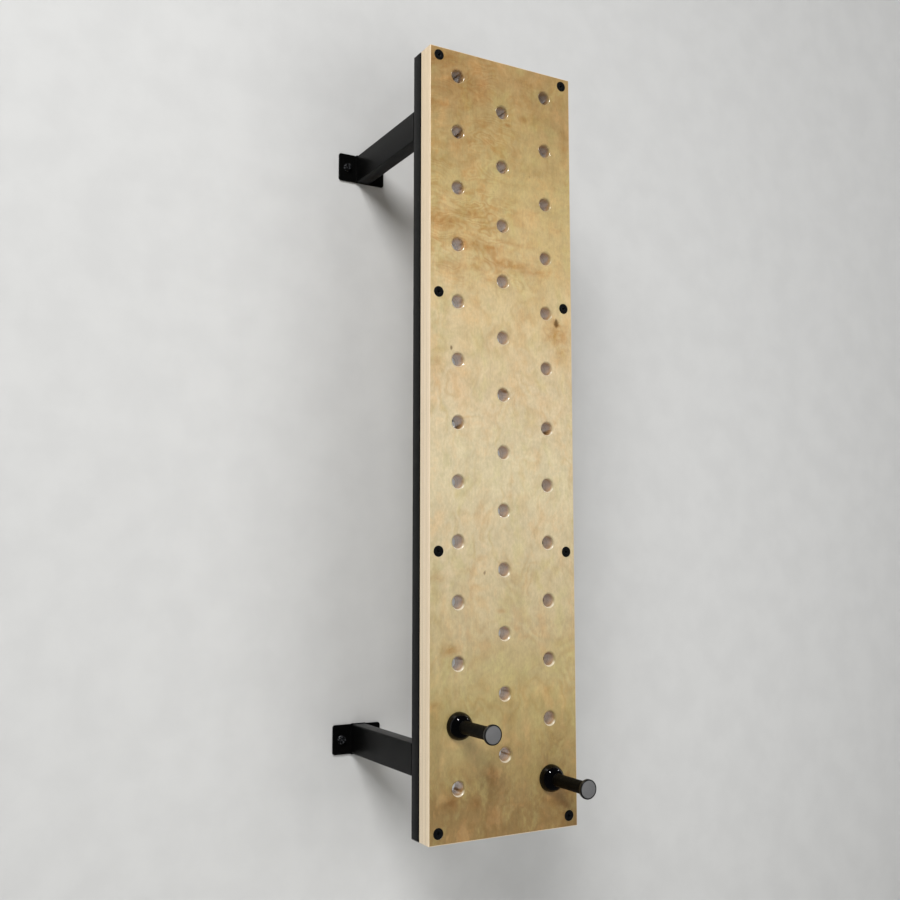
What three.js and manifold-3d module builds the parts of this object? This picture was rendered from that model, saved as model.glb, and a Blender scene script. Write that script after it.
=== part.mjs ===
// Wall-mounted climbing pegboard: a thick plywood panel with three columns of peg holes, screwed to
// a black steel frame that four arms hold away from the wall, and two removable hand pegs.
// Millimetres. X runs across the panel, Y runs into the wall and Z is up. The origin is the centre
// of the back face of the lower left wall plate.
import * as THREE from "three";
import { mergeVertices } from "three/addons/utils/BufferGeometryUtils.js";
import Module from "manifold-3d";

const wasm = await Module();
wasm.setup();

// Clearances: pieces that bear on each other, and how far a cutter runs past what it cuts.
const seatGap = 0.3;
const overrun = 1;

// Vertices closer than this are one vertex.
const weldDistance = 1e-4;

// Plywood panel.
const panelWidth = 435;
const panelHeight = 2000;
const panelThickness = 50;
const panelEdgeRound = 2;

// Peg holes. Each column climbs by the row pitch, with one wider step at each given height.
const pegHoleDiameter = 34;
const pegHoleRound = 6;
const columnPitch = 135;
const rowPitch = 149.5;
const wideStepExtra = 10.5;
const outerFirstRow = 127.5;
const middleFirstRow = 197;
const topRowMargin = 60;
const outerWideStepShares = [0.553];
const middleWideStepShares = [0.288, 0.817];
const pegHoleSides = 12;
const pegHoleRoundSteps = 2;

// Steel frame behind the panel: two uprights with plastic caps, and three crossbars between them.
const uprightWidth = 50;
const uprightDepth = 40;
const uprightWall = 2.5;
const crossbarHeight = 40;
const crossbarWall = 2;
const tubeCornerRadius = 3.5;
const middleCrossbarShare = 0.529;
const capThickness = 2;
const capPlugDepth = 8;
const capPlugWall = 2;

// Arms and wall plates. Each plate sits off the centre of its arm, towards the outside.
const armWidth = 40;
const armHeight = 80;
const armLength = 358;
const armWall = 3;
const upperArmInset = 146;
const lowerArmInset = 149.5;
const plateWidth = 142;
const plateOutset = 4.5;
const plateThickness = 5;
const plateCornerRadius = 7;
const wallBoltSpacing = 90;

// Wall bolts: hexagon heads with a flange. Their shanks stop short of the wall face of the plate.
const wallBoltDiameter = 12;
const wallBoltFlangeDiameter = 25;
const wallBoltFlangeEdge = 1.5;
const wallBoltFlangeRise = 3;
const wallBoltAcrossFlats = 18;
const wallBoltHeadHeight = 10;
const wallBoltCrown = 1.2;
const wallBoltSides = 12;

// Panel screws: countersunk, with a hexagon socket, each in a rivet nut in the upright.
const screwDiameter = 12;
const screwHeadDiameter = 27.5;
const screwHeadLand = 1;
const screwSocketFlats = 8;
const screwSocketDepth = 4.5;
const screwReach = 14;
const screwSideInset = 26;
const screwBottomInset = 28;
const screwTopInset = 22.5;
const screwMiddleShares = [0.3508, 0.6767];
const nutBodyDiameter = 16;
const nutFlangeDiameter = 22;
const nutFlangeThickness = 1.5;
const nutBulgeDiameter = 20;
const nutBulgeLength = 4;
const nutLength = 16;
const screwSides = 10;

// Hand pegs: a tube that carries a domed stop collar, a beaded rubber grip and a flanged end.
const pegTubeDiameter = 30;
const pegTubeWall = 2.5;
const pegInsertion = 48;
const pegReach = 162;
const collarDiameter = 69;
const collarLength = 35;
const collarBaseLand = 1.5;
const gripDiameter = 32;
const gripBeadDiameter = 34;
const gripBeadLength = 5;
const endFlangeDiameter = 48;
const endFlangeThickness = 9;
const endFlangeRound = 2;
const endDiscDiameter = 42;
const endDiscThickness = 2.4;
const endDiscSink = 0.5;
const endSpigotLength = 16;
const endSpigotWall = 3;
const tipPlugLength = 14;
const tipPlugLead = 3;
const pegSides = 20;
const collarSteps = 6;

const finish = (color, roughness, metalness) =>
  new THREE.MeshStandardMaterial({ color, roughness, metalness });
const plywood = finish(0xcdb283, 0.45, 0);
const powderCoat = finish(0x26272a, 0.5, 0.3);
const blackPlastic = finish(0x161617, 0.5, 0);
const blackOxide = finish(0x1d1e20, 0.4, 0.8);
const zinc = finish(0xa7a9ab, 0.35, 0.9);
const glossPlastic = finish(0x0b0b0c, 0.08, 0);
const rubber = finish(0x191816, 0.8, 0);
const aluminium = finish(0x9b9da3, 0.35, 0.9);

// Shapes and solids.

// Closed path with straight sides round a circle.
function circlePath(x, y, diameter, sides, PathType = THREE.Path) {
  const points = [];
  for (let i = 0; i < sides; i++) {
    const angle = (i / sides) * 2 * Math.PI;
    const across = (diameter / 2) * Math.cos(angle);
    const up = (diameter / 2) * Math.sin(angle);
    points.push(new THREE.Vector2(x + across, y + up));
  }
  return new PathType(points);
}

// Rectangle centred on the origin with round corners.
function roundedRectangle(width, height, radius, PathType = THREE.Shape) {
  const right = width / 2 - radius;
  const top = height / 2 - radius;
  const path = new PathType();
  path.absarc(right, top, radius, 0, Math.PI / 2);
  path.absarc(-right, top, radius, Math.PI / 2, Math.PI);
  path.absarc(-right, -top, radius, Math.PI, 1.5 * Math.PI);
  path.absarc(right, -top, radius, 1.5 * Math.PI, 2 * Math.PI);
  path.closePath();
  return path;
}

// A shape pushed along +Z.
function extrude(shape, depth, arcSteps = 2) {
  return new THREE.ExtrudeGeometry(shape, { depth, bevelEnabled: false, curveSegments: arcSteps });
}

// Rectangular tube along +Z, open at both ends.
function rectangularTube(width, depth, wall, length) {
  const section = roundedRectangle(width, depth, tubeCornerRadius);
  const innerRadius = tubeCornerRadius - wall;
  const bore =
    innerRadius > 0
      ? roundedRectangle(width - 2 * wall, depth - 2 * wall, innerRadius, THREE.Path)
      : sharpRectangle(width - 2 * wall, depth - 2 * wall);
  section.holes.push(bore);
  return extrude(section, length);
}

// Rectangle centred on the origin with sharp corners.
function sharpRectangle(width, height) {
  const x = width / 2;
  const y = height / 2;
  return new THREE.Path([
    new THREE.Vector2(-x, -y),
    new THREE.Vector2(x, -y),
    new THREE.Vector2(x, y),
    new THREE.Vector2(-x, y),
  ]);
}

// Body of revolution about Y from [radius, y] pairs, listed with rising y on the outside.
function revolve(profile, sides) {
  return new THREE.LatheGeometry(
    profile.map(([radius, y]) => new THREE.Vector2(radius, y)),
    sides,
  );
}

// Hexagonal prism along +Y, starting at y = 0.
function hexPrism(acrossFlats, length) {
  const hexagon = circlePath(0, 0, acrossFlats / Math.cos(Math.PI / 6), 6, THREE.Shape);
  return extrude(hexagon, length).rotateX(-Math.PI / 2);
}

function solid(geometry) {
  const bare = geometry.clone();
  bare.deleteAttribute("normal");
  bare.deleteAttribute("uv");
  const merged = mergeVertices(bare, weldDistance);
  return new wasm.Manifold(
    new wasm.Mesh({
      numProp: 3,
      vertProperties: new Float32Array(merged.attributes.position.array),
      triVerts: new Uint32Array(merged.index.array),
    }),
  );
}

function geometryOf(manifold) {
  const mesh = manifold.getMesh();
  return new THREE.BufferGeometry()
    .setAttribute("position", new THREE.BufferAttribute(mesh.vertProperties, 3))
    .setIndex(new THREE.BufferAttribute(mesh.triVerts, 1));
}

const join = (first, ...others) =>
  geometryOf(others.reduce((sum, other) => sum.add(solid(other)), solid(first)));
const cut = (body, ...tools) =>
  geometryOf(tools.reduce((rest, tool) => rest.subtract(solid(tool)), solid(body)));

function place(group, name, geometry, material, x = 0, y = 0, z = 0) {
  const mesh = new THREE.Mesh(geometry, material);
  mesh.name = name;
  mesh.position.set(x, y, z);
  group.add(mesh);
  return mesh;
}

// Places that the pieces share.

const plateFrontY = -plateThickness;
const armBackY = plateFrontY - seatGap;
const armFrontY = armBackY - armLength;
const uprightBackY = armFrontY - seatGap;
const uprightMiddleY = uprightBackY - uprightDepth / 2;
const uprightFrontY = uprightBackY - uprightDepth;
const panelStandoff = nutFlangeThickness + 2 * seatGap;
const panelBackY = uprightFrontY - panelStandoff;
const panelFrontY = panelBackY - panelThickness;

const sides = [
  { name: "left", sign: -1 },
  { name: "right", sign: 1 },
];
const uprightX = panelWidth / 2 - uprightWidth / 2;
const screwX = panelWidth / 2 - screwSideInset;
const armX = panelWidth / 2 - armWidth / 2;
const plateX = armX + plateOutset;
const plateHeight = armHeight;
const levels = [
  { name: "lower", z: lowerArmInset + armHeight / 2 },
  { name: "upper", z: panelHeight - upperArmInset - armHeight / 2 },
];
const screwHeights = [
  screwBottomInset,
  ...screwMiddleShares.map((share) => share * panelHeight),
  panelHeight - screwTopInset,
];

// Heights of the holes of one column, from the bottom up.
function columnRows(firstRow, wideStepShares) {
  const wideSteps = wideStepShares.map((share) => share * panelHeight);
  const rows = [];
  let z = firstRow;
  while (z <= panelHeight - topRowMargin) {
    rows.push(z);
    const next = z + rowPitch;
    z = wideSteps.some((height) => z < height && height <= next) ? next + wideStepExtra : next;
  }
  return rows;
}
const outerRows = columnRows(outerFirstRow, outerWideStepShares);
const middleRows = columnRows(middleFirstRow, middleWideStepShares);
const columns = [
  { x: -columnPitch, rows: outerRows },
  { x: 0, rows: middleRows },
  { x: columnPitch, rows: outerRows },
];

// Panel: its outer edges are broken on both faces and the peg holes have rounded mouths.
function panelGeometry() {
  const outline = new THREE.Shape([
    new THREE.Vector2(-panelWidth / 2, 0),
    new THREE.Vector2(panelWidth / 2, 0),
    new THREE.Vector2(panelWidth / 2, panelHeight),
    new THREE.Vector2(-panelWidth / 2, panelHeight),
  ]);
  const blank = new THREE.ExtrudeGeometry(outline, {
    depth: panelThickness - 2 * panelEdgeRound,
    bevelThickness: panelEdgeRound,
    bevelSize: panelEdgeRound,
    bevelOffset: -panelEdgeRound,
    bevelSegments: 1,
  });
  blank.translate(0, 0, panelEdgeRound).rotateX(Math.PI / 2);
  const cutters = [];
  for (const column of columns)
    for (const z of column.rows)
      cutters.push(pegHoleCutter().translate(column.x, -panelThickness, z));
  for (const side of sides)
    for (const z of screwHeights)
      cutters.push(screwHoleCutter().translate(side.sign * screwX, -panelThickness, z));
  return cut(blank, ...cutters);
}

// Straight hole from the front face at y = 0, with its mouth rounded over.
function pegHoleCutter() {
  const radius = pegHoleDiameter / 2;
  const mouth = [];
  for (let i = 0; i <= pegHoleRoundSteps; i++) {
    const angle = ((i / pegHoleRoundSteps) * Math.PI) / 2;
    const out = radius + pegHoleRound * (1 - Math.sin(angle));
    mouth.push([out, pegHoleRound * (1 - Math.cos(angle))]);
  }
  const far = panelThickness + overrun;
  return revolve(
    [[0, -overrun], [radius + pegHoleRound, -overrun], ...mouth, [radius, far], [0, far]],
    pegHoleSides,
  );
}

// Countersunk hole from the front face at y = 0.
function screwHoleCutter() {
  const shank = screwDiameter / 2 + seatGap;
  const head = screwHeadDiameter / 2 + seatGap;
  const cone = head - shank;
  return revolve(
    [
      [0, -overrun],
      [head, -overrun],
      [head, screwHeadLand],
      [shank, screwHeadLand + cone],
      [shank, panelThickness + overrun],
      [0, panelThickness + overrun],
    ],
    screwSides,
  );
}

// Screw with its head's face at y = 0 and its shank along +Y.
function panelScrew() {
  const shank = screwDiameter / 2;
  const head = screwHeadDiameter / 2;
  const length = panelThickness + panelStandoff + uprightWall + screwReach;
  const body = revolve(
    [
      [0, 0],
      [head, 0],
      [head, screwHeadLand],
      [shank, screwHeadLand + head - shank],
      [shank, length],
      [0, length],
    ],
    screwSides,
  );
  const socket = hexPrism(screwSocketFlats, screwSocketDepth + overrun).translate(0, -overrun, 0);
  return cut(body, socket);
}

// Rivet nut: its flange lies between the panel and the front of the upright at y = 0, its crimp
// behind the tube wall.
function rivetNut() {
  const bore = screwDiameter / 2 + seatGap;
  const body = nutBodyDiameter / 2;
  const flange = nutFlangeDiameter / 2;
  const bulge = nutBulgeDiameter / 2;
  const front = -seatGap - nutFlangeThickness;
  const crimpStart = uprightWall + seatGap;
  return revolve(
    [
      [bore, front],
      [flange, front],
      [flange, -seatGap],
      [body, -seatGap],
      [body, crimpStart],
      [bulge, crimpStart],
      [body, crimpStart + nutBulgeLength],
      [body, nutLength],
      [bore, nutLength],
      [bore, front],
    ],
    screwSides,
  );
}

// Hexagon bolt with the underside of its flange at y = 0, its head along -Y and its shank along +Y.
function wallBolt() {
  const flange = wallBoltFlangeDiameter / 2;
  const crown = wallBoltAcrossFlats / 2 - wallBoltCrown;
  const shankEnd = plateThickness;
  const flanged = revolve(
    [
      [0, -wallBoltFlangeRise],
      [wallBoltAcrossFlats / 2, -wallBoltFlangeRise],
      [flange, -wallBoltFlangeEdge],
      [flange, 0],
      [wallBoltDiameter / 2, 0],
      [wallBoltDiameter / 2, shankEnd],
      [0, shankEnd],
    ],
    wallBoltSides,
  );
  const hexagon = hexPrism(wallBoltAcrossFlats, wallBoltHeadHeight - wallBoltFlangeEdge);
  hexagon.translate(0, -wallBoltHeadHeight, 0);
  const corner = wallBoltAcrossFlats / 2 / Math.cos(Math.PI / 6) + overrun;
  const slope = Math.tan(Math.PI / 6);
  const chamfer = revolve(
    [
      [0, -wallBoltHeadHeight],
      [crown, -wallBoltHeadHeight],
      [corner, -wallBoltHeadHeight + (corner - crown) * slope],
      [corner, 0],
      [0, 0],
    ],
    wallBoltSides,
  );
  const head = geometryOf(solid(hexagon).intersect(solid(chamfer)));
  return join(flanged, head);
}

// Frame.

// Upright along +Z with a hole at x = holeX through its front wall for each rivet nut.
function uprightGeometry(holeX) {
  const length = panelHeight - 2 * (capThickness + seatGap);
  const tube = rectangularTube(uprightWidth, uprightDepth, uprightWall, length);
  const holes = screwHeights.map((z) =>
    revolve(
      [
        [0, -overrun],
        [nutBodyDiameter / 2 + seatGap, -overrun],
        [nutBodyDiameter / 2 + seatGap, uprightWall + overrun],
        [0, uprightWall + overrun],
      ],
      screwSides,
    ).translate(holeX, -uprightDepth / 2, z - capThickness - seatGap),
  );
  return cut(tube, ...holes);
}

// Plastic cap: a plate over the end of the upright with a hollow plug inside the tube along -Z.
function uprightCap() {
  const plate = extrude(roundedRectangle(uprightWidth, uprightDepth, tubeCornerRadius), capThickness);
  const plugWidth = uprightWidth - 2 * (uprightWall + seatGap);
  const plugDepth = uprightDepth - 2 * (uprightWall + seatGap);
  const plugRadius = tubeCornerRadius - uprightWall;
  const section = roundedRectangle(plugWidth, plugDepth, plugRadius);
  section.holes.push(sharpRectangle(plugWidth - 2 * capPlugWall, plugDepth - 2 * capPlugWall));
  const plug = extrude(section, capPlugDepth + capThickness / 2).translate(0, 0, -capPlugDepth);
  return join(plate, plug);
}

function addFrame(group) {
  for (const side of sides) {
    const name = `${side.name}_upright`;
    const x = side.sign * uprightX;
    const y = uprightMiddleY;
    const tube = uprightGeometry(side.sign * (screwX - uprightX));
    place(group, name, tube, powderCoat, x, y, capThickness + seatGap);
    const topCapZ = panelHeight - capThickness;
    place(group, `${name}_top_cap`, uprightCap(), blackPlastic, x, y, topCapZ);
    const low = place(group, `${name}_bottom_cap`, uprightCap(), blackPlastic, x, y, capThickness);
    low.rotation.x = Math.PI;
  }
  const span = panelWidth - 2 * (uprightWidth + seatGap);
  const crossbarHeights = {
    bottom: capThickness + seatGap + crossbarHeight / 2,
    middle: middleCrossbarShare * panelHeight,
    top: panelHeight - capThickness - seatGap - crossbarHeight / 2,
  };
  for (const [name, z] of Object.entries(crossbarHeights)) {
    const tube = rectangularTube(crossbarHeight, uprightDepth, crossbarWall, span).rotateY(Math.PI / 2);
    place(group, `${name}_crossbar`, tube, powderCoat, -span / 2, uprightMiddleY, z);
  }
}

// Arms and wall plates.

function plateGeometry() {
  const outline = roundedRectangle(plateWidth, plateHeight, plateCornerRadius);
  const hole = wallBoltDiameter + 2 * seatGap;
  for (const sign of [-1, 1])
    outline.holes.push(circlePath((sign * wallBoltSpacing) / 2, 0, hole, wallBoltSides));
  return extrude(outline, plateThickness, 3).rotateX(Math.PI / 2);
}

function addArms(group) {
  for (const side of sides)
    for (const level of levels) {
      const name = `${level.name}_${side.name}`;
      const arm = rectangularTube(armWidth, armHeight, armWall, armLength).rotateX(Math.PI / 2);
      place(group, `${name}_arm`, arm, powderCoat, side.sign * armX, armBackY, level.z);
      const x = side.sign * plateX;
      place(group, `${name}_wall_plate`, plateGeometry(), powderCoat, x, 0, level.z);
      ["outer", "inner"].forEach((end, i) => {
        const boltX = x + side.sign * (0.5 - i) * wallBoltSpacing;
        const bolt = `${name}_${end}_wall_bolt`;
        place(group, bolt, wallBolt(), blackOxide, boltX, plateFrontY - seatGap, level.z);
      });
    }
}

function addPanelScrews(group) {
  for (const side of sides)
    screwHeights.forEach((z, i) => {
      const x = side.sign * screwX;
      const screw = `${side.name}_panel_screw_${i + 1}`;
      place(group, screw, panelScrew(), blackOxide, x, panelFrontY, z);
      place(group, `${side.name}_rivet_nut_${i + 1}`, rivetNut(), zinc, x, uprightFrontY, z);
    });
}

// Hand peg. Local y = 0 is the face of the panel and the peg reaches out along -Y.

// Domed collar: a short straight base, then a quarter of an ellipse up to the grip.
function collarGeometry() {
  const radius = collarDiameter / 2;
  const bore = pegTubeDiameter / 2 + seatGap;
  const rise = collarLength - collarBaseLand;
  const dome = [];
  for (let i = 0; i <= collarSteps; i++) {
    const angle = (i / collarSteps) * Math.acos(gripBeadDiameter / collarDiameter);
    dome.push([radius * Math.cos(angle), -collarBaseLand - rise * Math.sin(angle)]);
  }
  dome.reverse();
  const tipY = dome[0][1];
  return revolve(
    [[bore, tipY], ...dome, [radius, -seatGap], [bore, -seatGap], [bore, tipY]],
    pegSides,
  );
}

// Length of the collar along the tube, up to where the dome meets the grip.
const collarTip =
  collarBaseLand + (collarLength - collarBaseLand) * Math.sin(Math.acos(gripBeadDiameter / collarDiameter));
const endFlangeBack = pegReach - endFlangeThickness;

// Rubber sleeve between the collar and the end flange, with a raised bead at each end.
function gripGeometry() {
  const bore = pegTubeDiameter / 2 + seatGap;
  const grip = gripDiameter / 2;
  const bead = gripBeadDiameter / 2;
  const start = -(endFlangeBack - seatGap);
  const end = -(collarTip + seatGap);
  return revolve(
    [
      [bore, start],
      [bead, start],
      [bead, start + gripBeadLength / 2],
      [grip, start + gripBeadLength],
      [grip, end - gripBeadLength],
      [bead, end - gripBeadLength / 2],
      [bead, end],
      [bore, end],
      [bore, start],
    ],
    pegSides,
  );
}

// Black flange round the end, with a recess for the disc.
function endFlangeGeometry() {
  const radius = endFlangeDiameter / 2;
  const bore = pegTubeDiameter / 2 + seatGap;
  const recess = endDiscDiameter / 2 + seatGap;
  const floor = -(pegReach - endDiscSink - endDiscThickness - seatGap);
  return revolve(
    [
      [bore, floor],
      [recess, floor],
      [recess, -pegReach],
      [radius - endFlangeRound, -pegReach],
      [radius, -pegReach + endFlangeRound],
      [radius, -endFlangeBack - endFlangeRound],
      [radius - endFlangeRound, -endFlangeBack],
      [bore, -endFlangeBack],
      [bore, floor],
    ],
    pegSides,
  );
}

// Round end disc with a hollow spigot inside the tube.
function endDiscGeometry() {
  const radius = endDiscDiameter / 2;
  const front = -(pegReach - endDiscSink);
  const back = front + endDiscThickness;
  const spigot = pegTubeDiameter / 2 - pegTubeWall - seatGap;
  return revolve(
    [
      [0, front],
      [radius, front],
      [radius, back],
      [spigot, back],
      [spigot, back + endSpigotLength],
      [spigot - endSpigotWall, back + endSpigotLength],
      [spigot - endSpigotWall, back],
      [0, back],
    ],
    pegSides,
  );
}

function pegTubeGeometry() {
  const outer = pegTubeDiameter / 2;
  const inner = outer - pegTubeWall;
  const near = -(pegReach - endDiscSink - endDiscThickness - seatGap);
  const far = pegInsertion - tipPlugLead;
  return revolve([[inner, near], [outer, near], [outer, far], [inner, far], [inner, near]], pegSides);
}

// Plug in the inserted end of the tube, with a tapered lead.
function tipPlugGeometry() {
  const outer = pegTubeDiameter / 2;
  const inner = outer - pegTubeWall - seatGap;
  const shoulder = pegInsertion - tipPlugLead + seatGap;
  return revolve(
    [
      [0, shoulder - tipPlugLength],
      [inner, shoulder - tipPlugLength],
      [inner, shoulder],
      [outer, shoulder],
      [outer - (pegInsertion - shoulder), pegInsertion],
      [0, pegInsertion],
    ],
    pegSides,
  );
}

function addPeg(group, name, x, z) {
  const peg = new THREE.Group();
  peg.position.set(x, panelFrontY, z);
  place(peg, `${name}_tube`, pegTubeGeometry(), aluminium);
  place(peg, `${name}_tip_plug`, tipPlugGeometry(), blackPlastic);
  place(peg, `${name}_collar`, collarGeometry(), glossPlastic);
  place(peg, `${name}_grip`, gripGeometry(), rubber);
  place(peg, `${name}_end_flange`, endFlangeGeometry(), blackPlastic);
  place(peg, `${name}_end_disc`, endDiscGeometry(), aluminium);
  group.add(peg);
}

const pegboard = new THREE.Group();
place(pegboard, "front_panel", panelGeometry(), plywood, 0, panelBackY, 0);
addFrame(pegboard);
addArms(pegboard);
addPanelScrews(pegboard);
addPeg(pegboard, "left_peg", columns[0].x, outerRows[1]);
addPeg(pegboard, "right_peg", columns[2].x, outerRows[0]);
pegboard.position.set(plateX, 0, -levels[0].z);

export default pegboard;
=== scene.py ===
"""Looks of a wall-mounted climbing pegboard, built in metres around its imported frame."""

import logging
import math
from dataclasses import dataclass
from enum import Enum

import bmesh
import bpy
from mathutils import Matrix, Quaternion, Vector


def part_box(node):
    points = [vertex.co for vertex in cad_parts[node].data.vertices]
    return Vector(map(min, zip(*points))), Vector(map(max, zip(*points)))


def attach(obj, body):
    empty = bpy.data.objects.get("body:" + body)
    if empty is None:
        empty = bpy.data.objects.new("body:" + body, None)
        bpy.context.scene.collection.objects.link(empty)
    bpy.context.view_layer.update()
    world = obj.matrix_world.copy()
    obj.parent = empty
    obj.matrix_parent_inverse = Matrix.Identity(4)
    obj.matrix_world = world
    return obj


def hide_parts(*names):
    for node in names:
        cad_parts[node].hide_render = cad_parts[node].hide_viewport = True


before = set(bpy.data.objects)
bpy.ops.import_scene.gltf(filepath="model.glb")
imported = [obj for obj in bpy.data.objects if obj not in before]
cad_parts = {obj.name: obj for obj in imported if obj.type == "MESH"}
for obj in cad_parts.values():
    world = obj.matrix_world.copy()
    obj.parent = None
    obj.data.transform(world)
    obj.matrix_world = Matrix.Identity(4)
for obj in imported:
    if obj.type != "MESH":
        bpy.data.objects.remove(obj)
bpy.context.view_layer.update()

log = logging.getLogger("pegboard")

Pair = tuple[float, float]
Triple = tuple[float, float, float]
Span = tuple[float, float, float, float]
Socket = bpy.types.NodeSocket
Material = bpy.types.Material
Mesh = bpy.types.Mesh
Links = dict[str | int, object] | tuple[object, ...]

BODY = "board"
SCREW_NUMBERS = range(1, 5)
WELD_TOLERANCE = 1e-5
SEAT_GAP = 0.0003
CRISP_ANGLE = 32.0
TUBE_CRISP_ANGLE = 50.0
EASED_ANGLE = 60.0
FLAT_ANGLE = 1.0
STEPS_PER_RIPPLE = 8.0
SIXTH_TURN = math.pi / 3
# turned pieces are made round Z and then laid along +Y
LAID_ALONG_Y = Matrix.Rotation(-math.pi / 2, 4, "X")
# most of a noise's values lie in this span
NOISE = (0.3, 0.7)
EASED = {"interpolation_type": "SMOOTHSTEP"}
MIXED = {"data_type": "RGBA"}
MULTIPLIED = {"data_type": "RGBA", "blend_type": "MULTIPLY"}


class Side(Enum):
    """The two sides of the board, with the sign of their X direction."""

    LEFT = -1
    RIGHT = 1

    @property
    def word(self) -> str:
        """The side's name in node names."""
        return self.name.lower()


class Level(Enum):
    """The two heights at which arms carry the frame."""

    LOWER = "lower"
    UPPER = "upper"


def linear(hex_colour: str) -> tuple[float, float, float, float]:
    """Turns an sRGB hex colour into linear RGBA.

    Args:
        hex_colour: Six hex digits after a number sign.

    Returns:
        Linear red, green and blue with full alpha.
    """
    channels = [int(hex_colour[i : i + 2], 16) / 255 for i in (1, 3, 5)]
    curved = [c / 12.92 if c <= 0.04045 else ((c + 0.055) / 1.055) ** 2.4 for c in channels]
    return (curved[0], curved[1], curved[2], 1.0)


def add_node(tree: bpy.types.NodeTree, kind: str, links: Links = (), **settings: object) -> bpy.types.Node:
    """Adds a node with its settings and links.

    Args:
        tree: Node tree that gets the node.
        kind: Type name of the node.
        links: What each input gets, in order or by name or number: a socket, a list of sockets, a
            hex colour or another value.
        **settings: Attributes of the node.

    Returns:
        The new node.
    """
    node = tree.nodes.new(kind)
    for name, value in settings.items():
        setattr(node, name, value)
    for key, value in links.items() if isinstance(links, dict) else enumerate(links):
        if isinstance(value, (Socket, list)):
            for source in value if isinstance(value, list) else [value]:
                tree.links.new(source, node.inputs[key])
        else:
            node.inputs[key].default_value = linear(value) if isinstance(value, str) else value
    return node


class Wiring:
    """Shader nodes as they are added to a material."""

    def __init__(self, tree: bpy.types.NodeTree) -> None:
        """Starts at the coordinates of the object, in metres."""
        self.tree = tree
        self.place = self.add("TexCoord", out="Object")

    def add(self, kind: str, links: Links = (), out: str | int = 0, **settings: object) -> Socket:
        """Adds a shader node and gives one of its outputs; its type is named without ShaderNode."""
        return add_node(self.tree, f"ShaderNode{kind}", links, **settings).outputs[out]

    def grain(
        self, place: Socket, stretch: Triple | float, detail: float = 2.0, rough: float = 0.5
    ) -> Socket:
        """Reads a noise whose grain may differ along the axes.

        Args:
            place: Coordinates in metres.
            stretch: Features per metre along X, Y and Z, or one number for all.
            detail: Number of finer layers in the noise.
            rough: Strength of each finer layer.

        Returns:
            The noise, from 0 to 1 about a middle of 0.5.
        """
        pitch = stretch if isinstance(stretch, tuple) else (stretch,) * 3
        scaled = self.add("VectorMath", (place, pitch), operation="MULTIPLY")
        return self.add("TexNoise", {"Vector": scaled, "Scale": 1.0, "Detail": detail, "Roughness": rough})

    def share(self, field: Socket, span: Span, times: object = 1.0) -> Socket:
        """Turns a field into a share, times another share.

        Args:
            field: What the share follows.
            span: Two values of the field, and the shares at and beyond them.
            times: The other share.

        Returns:
            The product.
        """
        eased = self.add("MapRange", (field, *span), **EASED)
        return self.add("Math", (eased, times), operation="MULTIPLY")

    def tint(self, field: Socket, span: Span, first: object, second: object) -> Socket:
        """Lets one colour give way to another as a field changes.

        Args:
            field: What the blend follows.
            span: Two values of the field, and the second colour's share at and beyond them.
            first: The first colour.
            second: The second colour.

        Returns:
            The blend.
        """
        eased = self.add("MapRange", (field, *span), **EASED)
        return self.add("Mix", {0: eased, 6: first, 7: second}, 2, **MIXED)

    def shade(self, colour: Socket, field: Socket, span: Span) -> Socket:
        """Darkens and lightens a colour as a field changes.

        Args:
            colour: The colour.
            field: What the shade follows.
            span: Two values of the field, and the brightness at and beyond them.

        Returns:
            The shaded colour.
        """
        bright = self.add("MapRange", (field, *span), **EASED)
        return self.add("Mix", {0: 1.0, 6: colour, 7: bright}, 2, **MULTIPLIED)

    def off_middle(self, value: Socket) -> Socket:
        """Measures how far a value is from halfway between two whole numbers.

        Args:
            value: The value.

        Returns:
            The distance, from 0 to 0.5.
        """
        within = self.add("Math", (value,), operation="FRACT")
        offset = self.add("Math", (within, 0.5), operation="SUBTRACT")
        return self.add("Math", (offset,), operation="ABSOLUTE")


class Recipe(Wiring):
    """A procedural material while its nodes are being wired."""

    def __init__(self, name: str) -> None:
        """Starts an empty material of this name."""
        self.material = bpy.data.materials.new(name)
        self.material.use_nodes = True
        self.material.node_tree.nodes.clear()
        super().__init__(self.material.node_tree)

    def end(self, surface: Socket) -> Material:
        """Ends the material in its surface."""
        add_node(self.tree, "ShaderNodeOutputMaterial", {"Surface": surface})
        return self.material

    def close(
        self,
        colour: object,
        rough: float | tuple[object, ...],
        relief: tuple[Socket, float] | None = None,
        **inputs: object,
    ) -> Material:
        """Ends the material in one shader.

        Args:
            colour: Its base colour.
            rough: Its roughness, or a field with two of its values and the roughness at each.
            relief: Field of the surface's relief, and its full height in metres.
            **inputs: Other inputs of the shader, with underscores for the spaces in their names.

        Returns:
            The finished material.
        """
        links = {name.replace("_", " "): value for name, value in inputs.items()}
        links["Base Color"] = colour
        links["Roughness"] = self.add("MapRange", rough, **EASED) if isinstance(rough, tuple) else rough
        if relief:
            links["Normal"] = self.add("Bump", {"Height": relief[0], "Distance": relief[1], "Strength": 1.0})
        return self.end(self.add("BsdfPrincipled", links))


@dataclass(frozen=True)
class Knot:
    """A pin knot: its place from the board's lower left corner, its heart and its strength."""

    across: float
    up: float
    heart: float
    strength: float


@dataclass(frozen=True)
class Stain:
    """A rusty cloud in the veneer: its place from the board's lower left corner, size and share."""

    across: float
    up: float
    wide: float
    tall: float
    share: float


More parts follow.
